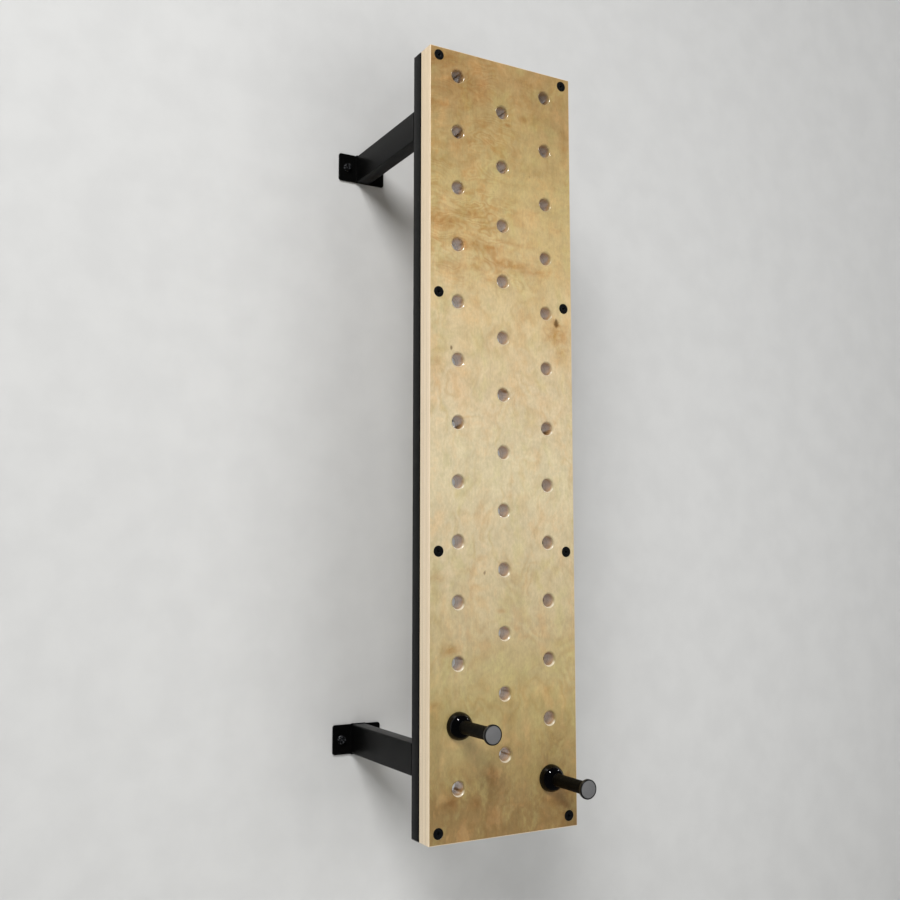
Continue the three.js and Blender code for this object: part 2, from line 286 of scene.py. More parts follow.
@dataclass(frozen=True)
class BirchVeneer:
    """Rotary-cut birch face veneer under a clear satin lacquer.

    The peeling knife opens the growth rings into long wandering contours, the fibres run up the
    board, and the lacquer warms the colour and smooths it to a soft sheen.
    """

    corner: Vector
    height: float
    # colours at even heights from the bottom to the top, browner at both ends: partly the veneer's own tone,
    # partly painted shade where the light falls off towards the ends
    tones: tuple[str, ...] = (
        "#866C40",
        "#A89664",
        "#AE9C74",
        "#BCAC8A",
        "#C4B694",
        "#C4B290",
        "#C2AE86",
        "#BAA476",
        "#B09C6C",
        "#A0865A",
    )
    # features per metre and reach of each ripple of the grain, from broad to fine
    ripples: tuple[tuple[Triple, float], ...] = (
        ((5.0, 5.0, 3.5), 0.08),
        ((19.0, 19.0, 16.0), 0.022),
        ((60.0, 60.0, 55.0), 0.007),
    )
    knots: tuple[Knot, ...] = (
        Knot(0.385, 1.311, 0.0110, 0.85),
        Knot(0.062, 1.213, 0.0060, 0.75),
        Knot(0.158, 0.648, 0.0052, 0.60),
        Knot(0.303, 1.701, 0.0040, 0.30),
        Knot(0.190, 1.640, 0.0030, 0.20),
    )
    stains: tuple[Stain, ...] = (
        Stain(0.383, 1.304, 0.026, 0.020, 0.85),
        Stain(0.380, 1.276, 0.056, 0.042, 0.72),
        Stain(0.402, 1.235, 0.034, 0.050, 0.50),
        Stain(0.030, 1.978, 0.085, 0.028, 0.70),
        Stain(0.072, 1.938, 0.045, 0.014, 0.50),
        Stain(0.085, 1.900, 0.110, 0.055, 0.32),
        Stain(0.020, 1.848, 0.065, 0.014, 0.45),
        Stain(0.287, 1.857, 0.022, 0.012, 0.50),
        Stain(0.234, 1.833, 0.010, 0.007, 0.50),
        Stain(0.335, 1.862, 0.050, 0.026, 0.30),
        Stain(0.415, 1.800, 0.014, 0.060, 0.35),
        Stain(0.110, 1.570, 0.065, 0.022, 0.40),
        Stain(0.030, 1.535, 0.080, 0.032, 0.62),
        Stain(0.250, 1.510, 0.070, 0.008, 0.45),
        Stain(0.130, 1.485, 0.110, 0.020, 0.62),
        Stain(0.235, 1.452, 0.090, 0.018, 0.68),
        Stain(0.060, 1.425, 0.080, 0.016, 0.35),
        Stain(0.330, 1.440, 0.050, 0.014, 0.40),
        Stain(0.014, 1.160, 0.034, 0.070, 0.35),
        Stain(0.190, 1.215, 0.040, 0.020, 0.18),
        Stain(0.052, 0.462, 0.036, 0.018, 0.65),
        Stain(0.028, 0.638, 0.032, 0.020, 0.35),
        Stain(0.205, 0.552, 0.018, 0.008, 0.40),
        Stain(0.012, 0.325, 0.030, 0.018, 0.40),
        # this brown patch lies where the left peg's shadow ends on the board
        Stain(0.177, 0.152, 0.018, 0.040, 0.40),
        Stain(0.062, 0.105, 0.030, 0.036, 0.55),
        Stain(0.126, 0.085, 0.024, 0.024, 0.45),
        Stain(0.350, 0.345, 0.022, 0.018, 0.28),
        Stain(0.405, 0.050, 0.060, 0.110, 0.40),
    )

    def make(self) -> Material:
        """Wires the veneer, with up the board as +Z.

        Returns:
            The material.
        """
        recipe = Recipe("lacquered_birch_veneer")
        sheen = recipe.grain(recipe.place, (22.0, 22.0, 5.0), 4.0)
        colour, fibre = VeneerPaint(self, recipe.tree).colour()
        return recipe.close(
            colour, (sheen, *NOISE, 0.36, 0.5), (fibre, 0.00006), Coat_Weight=0.15, Coat_Roughness=0.3
        )


class VeneerPaint(Wiring):
    """The veneer's colour as it is wired in one material."""

    def __init__(self, veneer: BirchVeneer, tree: bpy.types.NodeTree) -> None:
        """Measures from the board's lower left front corner, and bends a copy as the grain wanders.

        Args:
            veneer: The veneer.
            tree: Nodes of the material that shows it.
        """
        super().__init__(tree)
        self.veneer = veneer
        self.place = self.add("Mapping", {"Vector": self.place, "Location": tuple(-veneer.corner)})
        self.bent = self.place
        for stretch, reach in veneer.ripples:
            scaled = self.add("VectorMath", (self.place, stretch), operation="MULTIPLY")
            swirl = self.add("TexNoise", {"Vector": scaled, "Scale": 1.0, "Detail": 3.0}, "Color")
            centred = self.add("VectorMath", (swirl, (0.5,) * 3), operation="SUBTRACT")
            self.bent = self.add("VectorMath", (centred, (reach,) * 3, self.bent), operation="MULTIPLY_ADD")
        self.across, self.up = (self.add("SeparateXYZ", (self.place,), out) for out in (0, 2))

    def colour(self) -> tuple[Socket, Socket]:
        """Wires the whole colour.

        Returns:
            The colour, and the fibres' height.
        """
        painted = self.knotted(self.stained(self.figured(self.mottled(self.toned()))))
        # fibres: about 0.5 mm wide on the real veneer, drawn 1.5 mm wide so that they show
        fibre = self.grain(self.place, (650.0, 650.0, 9.0), 3.0, 0.6)
        return self.shade(painted, fibre, (0.25, 0.75, 0.955, 1.035)), fibre

    def toned(self) -> Socket:
        """Colours the board from end to end, cloudy throughout, darker at both ends partly as painted shade.

        Returns:
            The colour.
        """
        share = self.add("Math", (self.up, self.veneer.height), operation="DIVIDE")
        cloud = self.grain(self.bent, (7.0, 7.0, 5.0), 4.0, 0.6)
        centred = self.add("Math", (cloud, 0.5), operation="SUBTRACT")
        shifted = self.add("Math", (centred, 0.22, share), operation="MULTIPLY_ADD")
        ramp = add_node(self.tree, "ShaderNodeValToRGB", (shifted,))
        stops, tones = ramp.color_ramp.elements, self.veneer.tones
        while len(stops) < len(tones):
            stops.new(0.5)
        for i, (stop, tone) in enumerate(zip(stops, tones)):
            stop.position, stop.color = (i + 0.5) / len(tones), linear(tone)
        return ramp.outputs["Color"]

    def mottled(self, base: Socket) -> Socket:
        """Adds faint pinkish and greenish mineral stain and fine clouds of light and dark.

        Args:
            base: Colour under the stain.

        Returns:
            The mottled colour.
        """
        stain = self.grain(self.bent, (17.0, 17.0, 11.0), 5.0, 0.65)
        pink = self.tint(stain, (0.50, 0.66, 0.0, 0.24), base, "#C99C68")
        green = self.tint(stain, (0.34, 0.50, 0.26, 0.0), pink, "#B4AC70")
        cloud = self.grain(self.bent, (30.0, 30.0, 22.0), 5.0, 0.7)
        cloudy = self.shade(green, cloud, (*NOISE, 0.90, 1.09))
        speck = self.grain(self.place, (170.0, 170.0, 90.0), 3.0, 0.65)
        return self.shade(cloudy, speck, (*NOISE, 0.93, 1.06))

    def figured(self, base: Socket) -> Socket:
        """Draws the growth rings as faint wandering lines, close and flamed high on the board's left.

        Args:
            base: Colour under the rings.

        Returns:
            The figured colour.
        """
        field = self.grain(self.bent, (7.0, 7.0, 4.6), 3.0, 0.55)
        patch = self.grain(self.bent, (9.0, 9.0, 8.0), 3.0, 0.6)
        flame = self.grain(self.bent, (6.5, 6.5, 17.0), 2.0, 0.5)
        glow = self.grain(self.bent, (16.0, 16.0, 34.0), 5.0, 0.65)
        # the flamed zone fades in about 1.4 m up, and towards the right
        high = self.share(self.up, (1.34, 1.44, 0.0, 1.0))
        topped = self.share(self.up, (1.54, 1.70, 1.0, 0.85), high)
        zone = self.share(self.across, (0.14, 0.34, 1.0, 0.3), topped)
        close = self.add("Math", (self.rings(flame, 13.0, 0.9), zone), operation="MULTIPLY")
        colour = base
        for strength, ring_colour in (
            (self.share(patch, (0.36, 0.64, 0.04, 0.30), self.rings(field, 11.0, 0.85)), "#E4C899"),
            (self.share(patch, (0.36, 0.64, 0.1, 0.42), close), "#DEB878"),
            (self.share(glow, (0.46, 0.68, 0.0, 0.42), zone), "#E2B670"),
        ):
            colour = self.add("Mix", {0: strength, 6: colour, 7: ring_colour}, 2, **MULTIPLIED)
        return colour

    def rings(self, field: Socket, count: float, width: float) -> Socket:
        """Draws a line wherever a field crosses one of its even levels.

        Args:
            field: Smooth value from 0 to 1.
            count: Number of levels.
            width: Share of each step that the line covers.

        Returns:
            Strength of the line, soft on both sides.
        """
        away = self.off_middle(self.add("Math", (field, count), operation="MULTIPLY"))
        return self.add("MapRange", (away, 0.0, width / 2, 1.0, 0.0), **EASED)

    def stained(self, base: Socket) -> Socket:
        """Clouds the veneer with its rusty stains, ragged at their edges.

        Args:
            base: Colour under the stains.

        Returns:
            The stained colour.
        """
        halfway = self.add("Mix", {0: 0.45, 4: self.place, 5: self.bent}, 1, data_type="VECTOR")
        strength: object = 0.0
        for stain in self.veneer.stains:
            size = (1.0 / stain.wide, 0.0, 1.0 / stain.tall)
            offset = (-stain.across / stain.wide, 0.0, -stain.up / stain.tall)
            scaled = self.add("VectorMath", (halfway, size, offset), operation="MULTIPLY_ADD")
            away = self.add("VectorMath", (scaled,), "Value", operation="LENGTH")
            cloud = self.add("MapRange", (away, 0.0, 1.25, stain.share, 0.0), **EASED)
            strength = self.add("Math", (strength, cloud), operation="MAXIMUM")
        smoke = self.grain(self.bent, (38.0, 38.0, 62.0), 5.0, 0.65)
        torn = self.add("MapRange", (smoke, 0.32, 0.66, 0.45, 1.15), **EASED)
        ragged = self.add("Math", (strength, torn), operation="MULTIPLY", use_clamp=True)
        return self.add("Mix", {0: ragged, 6: base, 7: "#D6AC68"}, 2, **MULTIPLIED)

    def knotted(self, base: Socket) -> Socket:
        """Adds the dark hearts of the pin knots, longer than they are wide.

        Args:
            base: Colour under the knots.

        Returns:
            The colour with knots.
        """
        squash = (1.0, 0.0, 0.72)
        flat = self.add("VectorMath", (self.place, squash), operation="MULTIPLY")
        wobble = self.grain(self.place, (160.0, 160.0, 120.0), 3.0)
        colour = base
        for knot in self.veneer.knots:
            centre = (knot.across * squash[0], 0.0, knot.up * squash[2])
            away = self.add("VectorMath", (flat, centre), "Value", operation="DISTANCE")
            rough = self.share(wobble, (0.2, 0.8, 0.7, 1.4), away)
            colour = self.tint(rough, (knot.heart * 0.3, knot.heart, knot.strength, 0.0), colour, "#553A18")
        return colour


class PlyFinish(Enum):
    """How an edge of the plywood is finished."""

    SANDED = "sanded_lacquered_ply_edge"
    BORED = "bored_lacquered_ply_hole"


@dataclass(frozen=True)
class PlyEdge:
    """Edge of birch plywood under lacquer.

    Every other veneer shows its end grain, darker and speckled, between pale ones cut along the
    grain, and a thin brown glue line parts each pair. The board is pressed from three sheets, so
    two glue lines are darker. In the holes the lacquer lies thick and wet-looking. Heights are
    those of the shared frame.
    """

    front: float
    thickness: float
    kind: PlyFinish
    face: BirchVeneer
    veneer: float = 0.00145
    sheets: float = 3.0
    lip: float = 0.009
    # heights over which painted shade darkens the sanded edge towards the top
    edge_ages_over: Pair = (0.9, 1.8)
    # heights over which painted shade darkens the holes and thins their coat towards the top
    holes_brown_over: Pair = (1.15, 1.9)
    # heights over which the light painted on the lower hole lips fades
    lips_wear_over: Pair = (0.2, 1.6)

    def make(self) -> Material:
        """Wires the layers, stacked along Y from the front face.

        Returns:
            The material.
        """
        recipe = Recipe(self.kind.value)
        along, height = (recipe.add("SeparateXYZ", (recipe.place,), out) for out in (1, 2))
        depth = recipe.add("Math", (along, self.front), operation="SUBTRACT")
        waver = recipe.grain(recipe.place, 6.0)
        waved = recipe.add("Math", (waver, 0.0004, depth), operation="MULTIPLY_ADD")
        layer = recipe.add("Math", (waved, self.veneer), operation="DIVIDE")
        index = recipe.add("Math", (layer,), operation="FLOOR")
        turned = recipe.add("Math", (index, 2.0), operation="FLOORED_MODULO")
        chance = recipe.add("TexWhiteNoise", {"W": index}, "Value", noise_dimensions="1D")
        # long grain runs up the board; end grain is speckled with pores
        long_grain = recipe.grain(recipe.place, (900.0, 900.0, 14.0), 3.0)
        end_grain = recipe.grain(recipe.place, (1500.0, 1500.0, 900.0))
        pale = recipe.tint(long_grain, (*NOISE, 0.0, 1.0), "#EBD9BC", "#F5E8D2")
        dark = recipe.tint(end_grain, (*NOISE, 0.0, 1.0), "#D3BD9B", "#E4D2B4")
        wood = recipe.add("Mix", {0: turned, 6: pale, 7: dark}, 2, **MIXED)
        varied = recipe.add("Math", (chance, 0.4), operation="MULTIPLY")
        colour = recipe.add("Mix", {0: varied, 6: wood, 7: "#D9BF9C"}, 2, **MIXED)
        sheet = recipe.add("Math", (waved, self.thickness / self.sheets), operation="DIVIDE")
        for steps, reach, strength, glue in ((layer, 0.42, 0.30, "#8A6D48"), (sheet, 0.44, 0.55, "#7C5F41")):
            colour = recipe.tint(recipe.off_middle(steps), (reach, 0.5, 0.0, strength), colour, glue)
        pores = recipe.add("Math", (end_grain, turned), operation="MULTIPLY")
        if self.kind is PlyFinish.BORED:
            return self.bored(recipe, colour, depth, height, (pores, 0.0001))
        # painted shade: the sanded edge is darkened towards the top
        shaded_towards_top = recipe.tint(height, (*self.edge_ages_over, 0.0, 0.5), colour, "#CDB592")
        rough = (end_grain, *NOISE, 0.42, 0.6)
        return recipe.close(shaded_towards_top, rough, (pores, 0.0001), Coat_Weight=0.1, Coat_Roughness=0.35)

    def bored(
        self, recipe: Recipe, wood: Socket, depth: Socket, height: Socket, relief: tuple[Socket, float]
    ) -> Material:
        """Ends the finish of a hole.

        The router's bit follows the face veneer over the rim. Inside, the lacquer soaks in brown, and
        painted shade darkens the holes and thins their coat towards the top, as on the sanded edge.

        Args:
            recipe: Material being wired.
            wood: Colour of the bare layers.
            depth: Depth behind the board's face.
            height: Height in the shared frame.
            relief: Field and height of the pores.

        Returns:
            The finished material.
        """
        rim = recipe.add("MapRange", (depth, self.lip * 0.6, self.lip * 1.2, 1.0, 0.0), **EASED)
        soaked = recipe.add("Mix", {0: 1.0, 6: wood, 7: "#DDBE94"}, 2, **MULTIPLIED)
        # painted shade: the holes darken and their coat thins towards the top
        shaded_holes = recipe.tint(height, (*self.holes_brown_over, 0.0, 0.6), soaked, "#5E4630")
        lacquer = recipe.add("MapRange", (height, *self.holes_brown_over, 1.0, 0.66), **EASED)
        return recipe.close(
            recipe.add("Mix", {0: rim, 6: shaded_holes, 7: self.worn_lip(recipe, rim, height)}, 2, **MIXED),
            0.4,
            relief,
            Coat_Weight=recipe.add("Mix", {0: rim, 2: lacquer, 3: 0.45}),
            Coat_Roughness=0.2,
            Coat_IOR=3.1,
        )

    def worn_lip(self, recipe: Recipe, rim: Socket, height: Socket) -> Socket:
        """Paints light on the upward-facing lower lip of each hole, most of all in the low rows.

        Args:
            recipe: Material being wired.
            rim: Share of the rim, from 0 in the hole to 1 at the face.
            height: Height in the shared frame.

        Returns:
            The rim's colour.
        """
        facing = recipe.add("SeparateXYZ", (recipe.add("TexCoord", out="Normal"),), 2)
        # painted highlight: the lip is lightened where it faces up, more in the low rows
        upward_lip = recipe.share(facing, (0.1, 0.6, 0.0, 1.0), rim)
        lip_light = recipe.share(height, (*self.lips_wear_over, 0.60, 0.06), upward_lip)
        face = VeneerPaint(self.face, recipe.tree).colour()[0]
        return recipe.add("Mix", {0: lip_light, 6: face, 7: "#FBF0D8"}, 2, **MIXED)


@dataclass(frozen=True)
class PowderCoat:
    """Black polyester powder coat on mild steel: satin, with a fine orange-peel texture."""

    colour: str = "#060606"
    grain: float = 0.0011

    def make(self) -> Material:
        """Wires the coat; its texture is drawn at about 1 mm so that it shows.

        Returns:
            The material.
        """
        recipe = Recipe("black_powder_coat")
        peel = recipe.grain(recipe.place, 1.0 / self.grain)
        dust = recipe.grain(recipe.place, (5.0, 5.0, 3.0), 4.0, 0.6)
        tint = recipe.tint(dust, (0.4, 0.7, 0.0, 0.5), self.colour, "#0D0D0C")
        return recipe.close(tint, (peel, *NOISE, 0.27, 0.35), (peel, 0.0001), IOR=1.16)


@dataclass(frozen=True)
class BlackOxide:
    """Blackened hardened steel with a trace of oil, rubbed a little lighter in patches."""

    name: str = "black_oxide_steel"
    rubbed: str = "#2B2D30"
    gloss: Pair = (0.34, 0.5)

    def make(self) -> Material:
        """Wires the oxide film over dark metal.

        Returns:
            The material.
        """
        recipe = Recipe(self.name)
        rub = recipe.grain(recipe.place, 160.0, 4.0, 0.6)
        tint = recipe.tint(rub, (0.45, 0.75, 0.0, 0.6), "#141517", self.rubbed)
        return recipe.close(tint, (rub, *NOISE, *self.gloss), (rub, 0.00004), Metallic=0.6)


@dataclass(frozen=True)
class ZincPlate:
    """Bright zinc plating on small steel parts, lightly spangled."""

    def make(self) -> Material:
        """Wires the plating.

        Returns:
            The material.
        """
        recipe = Recipe("zinc_plated_steel")
        spangle = recipe.grain(recipe.place, 220.0, 3.0)
        tint = recipe.tint(spangle, (*NOISE, 0.0, 1.0), "#9B9DA0", "#BCBEC0")
        return recipe.close(tint, (spangle, *NOISE, 0.28, 0.42), Metallic=1.0)


@dataclass(frozen=True)
class PolishedPhenolic:
    """Black thermoset stop collar, turned and polished: deep gloss with faint wipe marks."""

    def make(self) -> Material:
        """Wires the gloss.

        Returns:
            The material.
        """
        recipe = Recipe("polished_black_phenolic")
        smear = recipe.grain(recipe.place, 40.0, 4.0, 0.6)
        return recipe.close("#010102", (smear, 0.4, 0.8, 0.05, 0.13), (smear, 0.00003), IOR=1.32)


@dataclass(frozen=True)
class MouldedRubber:
    """Matt black moulded rubber with a fine pebble from the mould and a little chalk bloom."""

    def make(self) -> Material:
        """Wires the rubber.

        Returns:
            The material.
        """
        recipe = Recipe("moulded_black_rubber")
        pebble = recipe.grain(recipe.place, 1300.0)
        bloom = recipe.grain(recipe.place, 70.0, 4.0, 0.6)
        tint = recipe.tint(bloom, (0.45, 0.8, 0.0, 0.5), "#030303", "#090908")
        return recipe.close(tint, (bloom, *NOISE, 0.48, 0.62), (pebble, 0.00015), IOR=1.2)


@dataclass(frozen=True)
class MouldedNylon:
    """Black injection-moulded nylon: satin, with a faint spark-eroded grain."""

    def make(self) -> Material:
        """Wires the nylon.

        Returns:
            The material.
        """
        recipe = Recipe("moulded_black_nylon")
        grain = recipe.grain(recipe.place, 900.0)
        return recipe.close("#070707", (grain, *NOISE, 0.3, 0.42), (grain, 0.00006))


@dataclass(frozen=True)
class TurnedAluminium:
    """Lathe-turned aluminium: fine rings round the peg's axis that soften the shine."""

    axis: Vector
    rings_per_metre: float = 1250.0

    def make(self) -> Material:
        """Wires the turning marks, real ones 0.1 mm apart, drawn at 0.8 mm so that they show.

        Returns:
            The material.
        """
        recipe = Recipe(f"turned_aluminium_{round(self.axis.x * 1000)}")
        shifted = recipe.add("Mapping", {"Vector": recipe.place, "Location": tuple(-self.axis)})
        flat = recipe.add("VectorMath", (shifted, (1.0, 0.0, 1.0)), operation="MULTIPLY")
        radius = recipe.add("VectorMath", (flat,), "Value", operation="LENGTH")
        turns = recipe.add("Math", (radius, self.rings_per_metre), operation="MULTIPLY")
        ring = recipe.add("TexNoise", {"W": turns, "Scale": 1.0, "Detail": 3.0}, noise_dimensions="1D")
        tint = recipe.tint(ring, (*NOISE, 0.0, 1.0), "#6C6C6D", "#7A7A7B")
        return recipe.close(tint, (ring, *NOISE, 0.42, 0.55), (ring, 0.00004), Metallic=0.35)


class NodeTool:
    """A Geometry Nodes tree with named inputs, which turns a start mesh into a plain mesh."""

    def __init__(self, name: str, **inputs: tuple[str, ...]) -> None:
        """Starts a tree.

        Args:
            name: Name of the tree.
            **inputs: Labels of the inputs of each type.
        """
        self.tree = bpy.data.node_groups.new(name, "GeometryNodeTree")
        for kind, labels in {"Geometry": ("Geometry",), **inputs}.items():
            for label in labels:
                self.tree.interface.new_socket(label, in_out="INPUT", socket_type=f"NodeSocket{kind}")
        self.tree.interface.new_socket("Geometry", in_out="OUTPUT", socket_type="NodeSocketGeometry")
        self.given = add_node(self.tree, "NodeGroupInput").outputs

    def add(self, kind: str, links: Links = (), out: str | int = 0, **settings: object) -> Socket:
        """Adds a node and gives one of its outputs; its type is named in full."""
        return add_node(self.tree, kind, links, **settings).outputs[out]

    def dress(self, geometry: Socket, label: str) -> Socket:
        """Makes instances real and gives them the material of an input.

        Args:
            geometry: Instances or a mesh.
            label: Label of the input.

        Returns:
            The dressed mesh.
        """
        real = self.add("GeometryNodeRealizeInstances", (geometry,))
        return self.add("GeometryNodeSetMaterial", {"Geometry": real, "Material": self.given[label]})

    def close(self, geometry: Socket) -> "NodeTool":
        """Ends the tree in its output."""
        add_node(self.tree, "NodeGroupOutput", (geometry,))
        return self

    def run(self, start: Mesh, **values: object) -> Mesh:
        """Runs the tree and gives the evaluated result as a plain mesh.

        Args:
            start: Mesh that enters the tree.
            **values: Value of each input, with underscores for the spaces in its label.

        Returns:
            The result.
        """
        piece = put(self.tree.name, start)
        modifier = piece.modifiers.new(self.tree.name, "NODES")
        modifier.node_group = self.tree
        for item in self.tree.interface.items_tree:
            key = item.name.replace(" ", "_")
            if item.in_out == "INPUT" and key in values:
                modifier[item.identifier] = values[key]
        seen = piece.evaluated_get(bpy.context.evaluated_depsgraph_get())
        made = bpy.data.meshes.new_from_object(seen)
        bpy.data.objects.remove(piece)
        return made


def scatter_tool() -> NodeTool:
    """Makes the tree that sets one piece at many points, each turned by its own angle.

    Returns:
        The tree, for screws and bolts that stand along Y.
    """
    tool = NodeTool("set_at_points", Object=("Piece",), Float=("Turn",), Int=("Seed",), Material=("Finish",))
    given = tool.given
    piece = tool.add("GeometryNodeObjectInfo", {"Object": given["Piece"]}, "Geometry")
    angle = tool.add("FunctionNodeRandomValue", {2: 0.0, 3: given["Turn"], "Seed": given["Seed"]}, 1)
    turn = tool.add("ShaderNodeCombineXYZ", {1: angle})
    links = {"Points": given["Geometry"], "Instance": piece, "Rotation": turn}
    return tool.close(tool.dress(tool.add("GeometryNodeInstanceOnPoints", links), "Finish"))


def ripple_tool() -> NodeTool:
    """Makes the tree that sweeps a round bar along a path and swells it in even ripples.

    Returns:
        The tree, for weld beads.
    """
    tool = NodeTool("rippled_bar", Float=("Radius", "Ripple", "Pitch"), Int=("Sides",), Material=("Finish",))
    given = tool.given
    path = tool.add("GeometryNodeMeshToCurve", {"Mesh": given["Geometry"]})
    step = tool.add("ShaderNodeMath", (given["Pitch"], STEPS_PER_RIPPLE), operation="DIVIDE")
    even = tool.add("GeometryNodeResampleCurve", {"Curve": path, "Length": step}, mode="LENGTH")
    along = tool.add("GeometryNodeSplineParameter", out="Length")
    phase = tool.add("ShaderNodeMath", (along, given["Pitch"]), operation="DIVIDE")
    angle = tool.add("ShaderNodeMath", (phase, math.tau), operation="MULTIPLY")
    wave = tool.add("ShaderNodeMath", (angle,), operation="COSINE")
    swell = tool.add("ShaderNodeMath", (wave, given["Ripple"], given["Radius"]), operation="MULTIPLY_ADD")
    ring = tool.add("GeometryNodeCurvePrimitiveCircle", {"Resolution": given["Sides"], "Radius": 1.0})
    links = {"Curve": even, "Profile Curve": ring, "Scale": swell, "Fill Caps": True}
    bar = tool.add("GeometryNodeCurveToMesh", links)
    return tool.close(tool.dress(tool.add("GeometryNodeSetShadeSmooth", {"Geometry": bar}), "Finish"))


def board_tool() -> NodeTool:
    """Makes the tree that pierces a board: skins with holes, and a lining in every hole.

    Returns:
        The tree. The start mesh is the rounded rim, in a flat frame with the front at +Z.
    """
    mouths = ("Peg Mouth", "Peg Back", "Head Mouth", "Shank Mouth")
    tool = NodeTool(
        "pierced_board",
        Float=("Skin Width", "Skin Height", "Thickness", *mouths),
        Object=("Peg Points", "Screw Points", "Peg Lining", "Screw Lining"),
        Int=("Peg Steps", "Screw Steps"),
        Material=("Face", "Edge", "Bore"),
    )
    given = tool.given

    def holes(word: str, piece: Socket) -> Socket:
        """Sets a piece at the points of the peg or the screw holes.

        Args:
            word: Peg or Screw.
            piece: Ring or lining.

        Returns:
            The pieces, made real.
        """
        points = tool.add("GeometryNodeObjectInfo", {"Object": given[f"{word} Points"]}, "Geometry")
        spread = tool.add("GeometryNodeInstanceOnPoints", {"Points": points, "Instance": piece})
        return tool.add("GeometryNodeRealizeInstances", (spread,))

    def skin(peg_mouth: Socket, screw_mouth: Socket, lift: object) -> Socket:
        """Fills one face round its holes.

        Args:
            peg_mouth: Radius of the peg holes in this face.
            screw_mouth: Radius of the screw holes in this face.
            lift: Height of the face.

        Returns:
            The face.
        """
        size = {"Width": given["Skin Width"], "Height": given["Skin Height"]}
        outlines = [tool.add("GeometryNodeCurvePrimitiveQuadrilateral", size)]
        for word, mouth in (("Peg", peg_mouth), ("Screw", screw_mouth)):
            circle = {"Resolution": given[f"{word} Steps"], "Radius": mouth}
            outlines.append(holes(word, tool.add("GeometryNodeCurvePrimitiveCircle", circle)))
        joined = tool.add("GeometryNodeJoinGeometry", (outlines,))
        filled = tool.add("GeometryNodeFillCurve", {"Curve": joined}, mode="TRIANGLES")
        height = tool.add("ShaderNodeCombineXYZ", {2: lift})
        raised = tool.add("GeometryNodeTransform", {"Geometry": filled, "Translation": height})
        return tool.dress(raised, "Face")

    rear = skin(given["Peg Back"], given["Shank Mouth"], 0.0)
    parts = [
        skin(given["Peg Mouth"], given["Head Mouth"], given["Thickness"]),
        tool.add("GeometryNodeFlipFaces", (rear,)),
        tool.dress(given["Geometry"], "Edge"),
    ]
    for word in ("Peg", "Screw"):
        lining = tool.add("GeometryNodeObjectInfo", {"Object": given[f"{word} Lining"]}, "Geometry")
        parts.append(tool.dress(holes(word, lining), "Bore"))
    whole = tool.add("GeometryNodeJoinGeometry", (parts,))
    closed = tool.add("GeometryNodeMergeByDistance", {"Geometry": whole, "Distance": WELD_TOLERANCE})
    return tool.close(closed)


def arc(centre: Pair, radius: float, start: float, end: float, steps: int) -> list[Pair]:
    """Lists points on an arc.

    Args:
        centre: Centre of the arc.
        radius: Its radius.
        start: First angle in degrees.
        end: Last angle in degrees.
        steps: Number of chords.

    Returns:
        The points, both ends included.
    """
    angles = [math.radians(start + (end - start) * i / steps) for i in range(steps + 1)]
    return [(centre[0] + radius * math.cos(a), centre[1] + radius * math.sin(a)) for a in angles]


def lathe(name: str, profile: list[Pair], steps: int, closed: bool = True) -> Mesh:
    """Turns a profile about Z.

    Args:
        name: Name of the mesh.
        profile: Radius and height of each point; a closed one starts and ends on the axis or joins itself.
        steps: Chords round the axis.
        closed: Whether the result is a closed shell, whose faces are then turned outwards.

    Returns:
        The mesh.
    """
    shape = bmesh.new()
    turns = [math.tau * i / steps for i in range(steps)]
    rings = []
    for radius, height in profile:
        if radius < WELD_TOLERANCE:
            rings.append([shape.verts.new((0.0, 0.0, height))] * steps)
        else:
            around = [(radius * math.cos(t), radius * math.sin(t), height) for t in turns]
            rings.append([shape.verts.new(place) for place in around])
    for low, high in zip(rings, rings[1:]):
        for i in range(steps):
            j = (i + 1) % steps
            corners = list(dict.fromkeys((low[i], low[j], high[j], high[i])))
            if len(corners) > 2:
                shape.faces.new(corners)
    bmesh.ops.remove_doubles(shape, verts=shape.verts, dist=WELD_TOLERANCE / 10)
    if closed:
        bmesh.ops.recalc_face_normals(shape, faces=shape.faces)
    return to_mesh(name, shape)


def hexagon(mesh: Mesh, corner: float, deepest: float) -> None:
    """Draws a round wall about Z in to a hexagon.

    Args:
        mesh: Turned mesh.
        corner: Radius of the wall, which the hexagon's corners keep.
        deepest: Height past which the wall stays round.
    """
    for vertex in mesh.vertices:
        x, y, z = vertex.co
        radius = math.hypot(x, y)
        if abs(radius - corner) > WELD_TOLERANCE or z > deepest + WELD_TOLERANCE:
            continue
        offset = math.atan2(y, x) % SIXTH_TURN - SIXTH_TURN / 2
        reach = corner * math.cos(SIXTH_TURN / 2) / math.cos(offset)
        vertex.co = (x * reach / radius, y * reach / radius, z)


def to_mesh(name: str, shape: bmesh.types.BMesh) -> Mesh:
    """Turns a bmesh into a mesh and frees it.

    Args:
        name: Name of the mesh.
        shape: The bmesh.

    Returns:
        The mesh.
    """
    mesh = bpy.data.meshes.new(name)
    shape.to_mesh(mesh)
    shape.free()
    return mesh


def points_mesh(name: str, points: list[Vector], loop: bool = False) -> Mesh:
    """Makes a mesh of points.

    Args:
        name: Name of the mesh.
        points: The points.
        loop: Whether a line joins them all in order and back to the first.

    Returns:
        The mesh.
    """
    mesh = bpy.data.meshes.new(name)
    last = len(points) - 1
    edges = [*((i, i + 1) for i in range(last)), (last, 0)] if loop else []
    mesh.from_pydata([tuple(p) for p in points], edges, [])
    return mesh


def put(name: str, data: bpy.types.ID) -> bpy.types.Object:
    """Puts an object in the scene.

    Args:
        name: Name of the object.
        data: Its mesh, light or camera.

    Returns:
        The object.
    """
    piece = bpy.data.objects.new(name, data)
    bpy.context.scene.collection.objects.link(piece)
    return piece


def shade(mesh: Mesh, sharp_angle: float = CRISP_ANGLE) -> None:
    """Shades a mesh smooth, with edges sharper than an angle in degrees kept crisp."""
    mesh.shade_smooth()
    mesh.set_sharp_from_angle(angle=math.radians(sharp_angle))


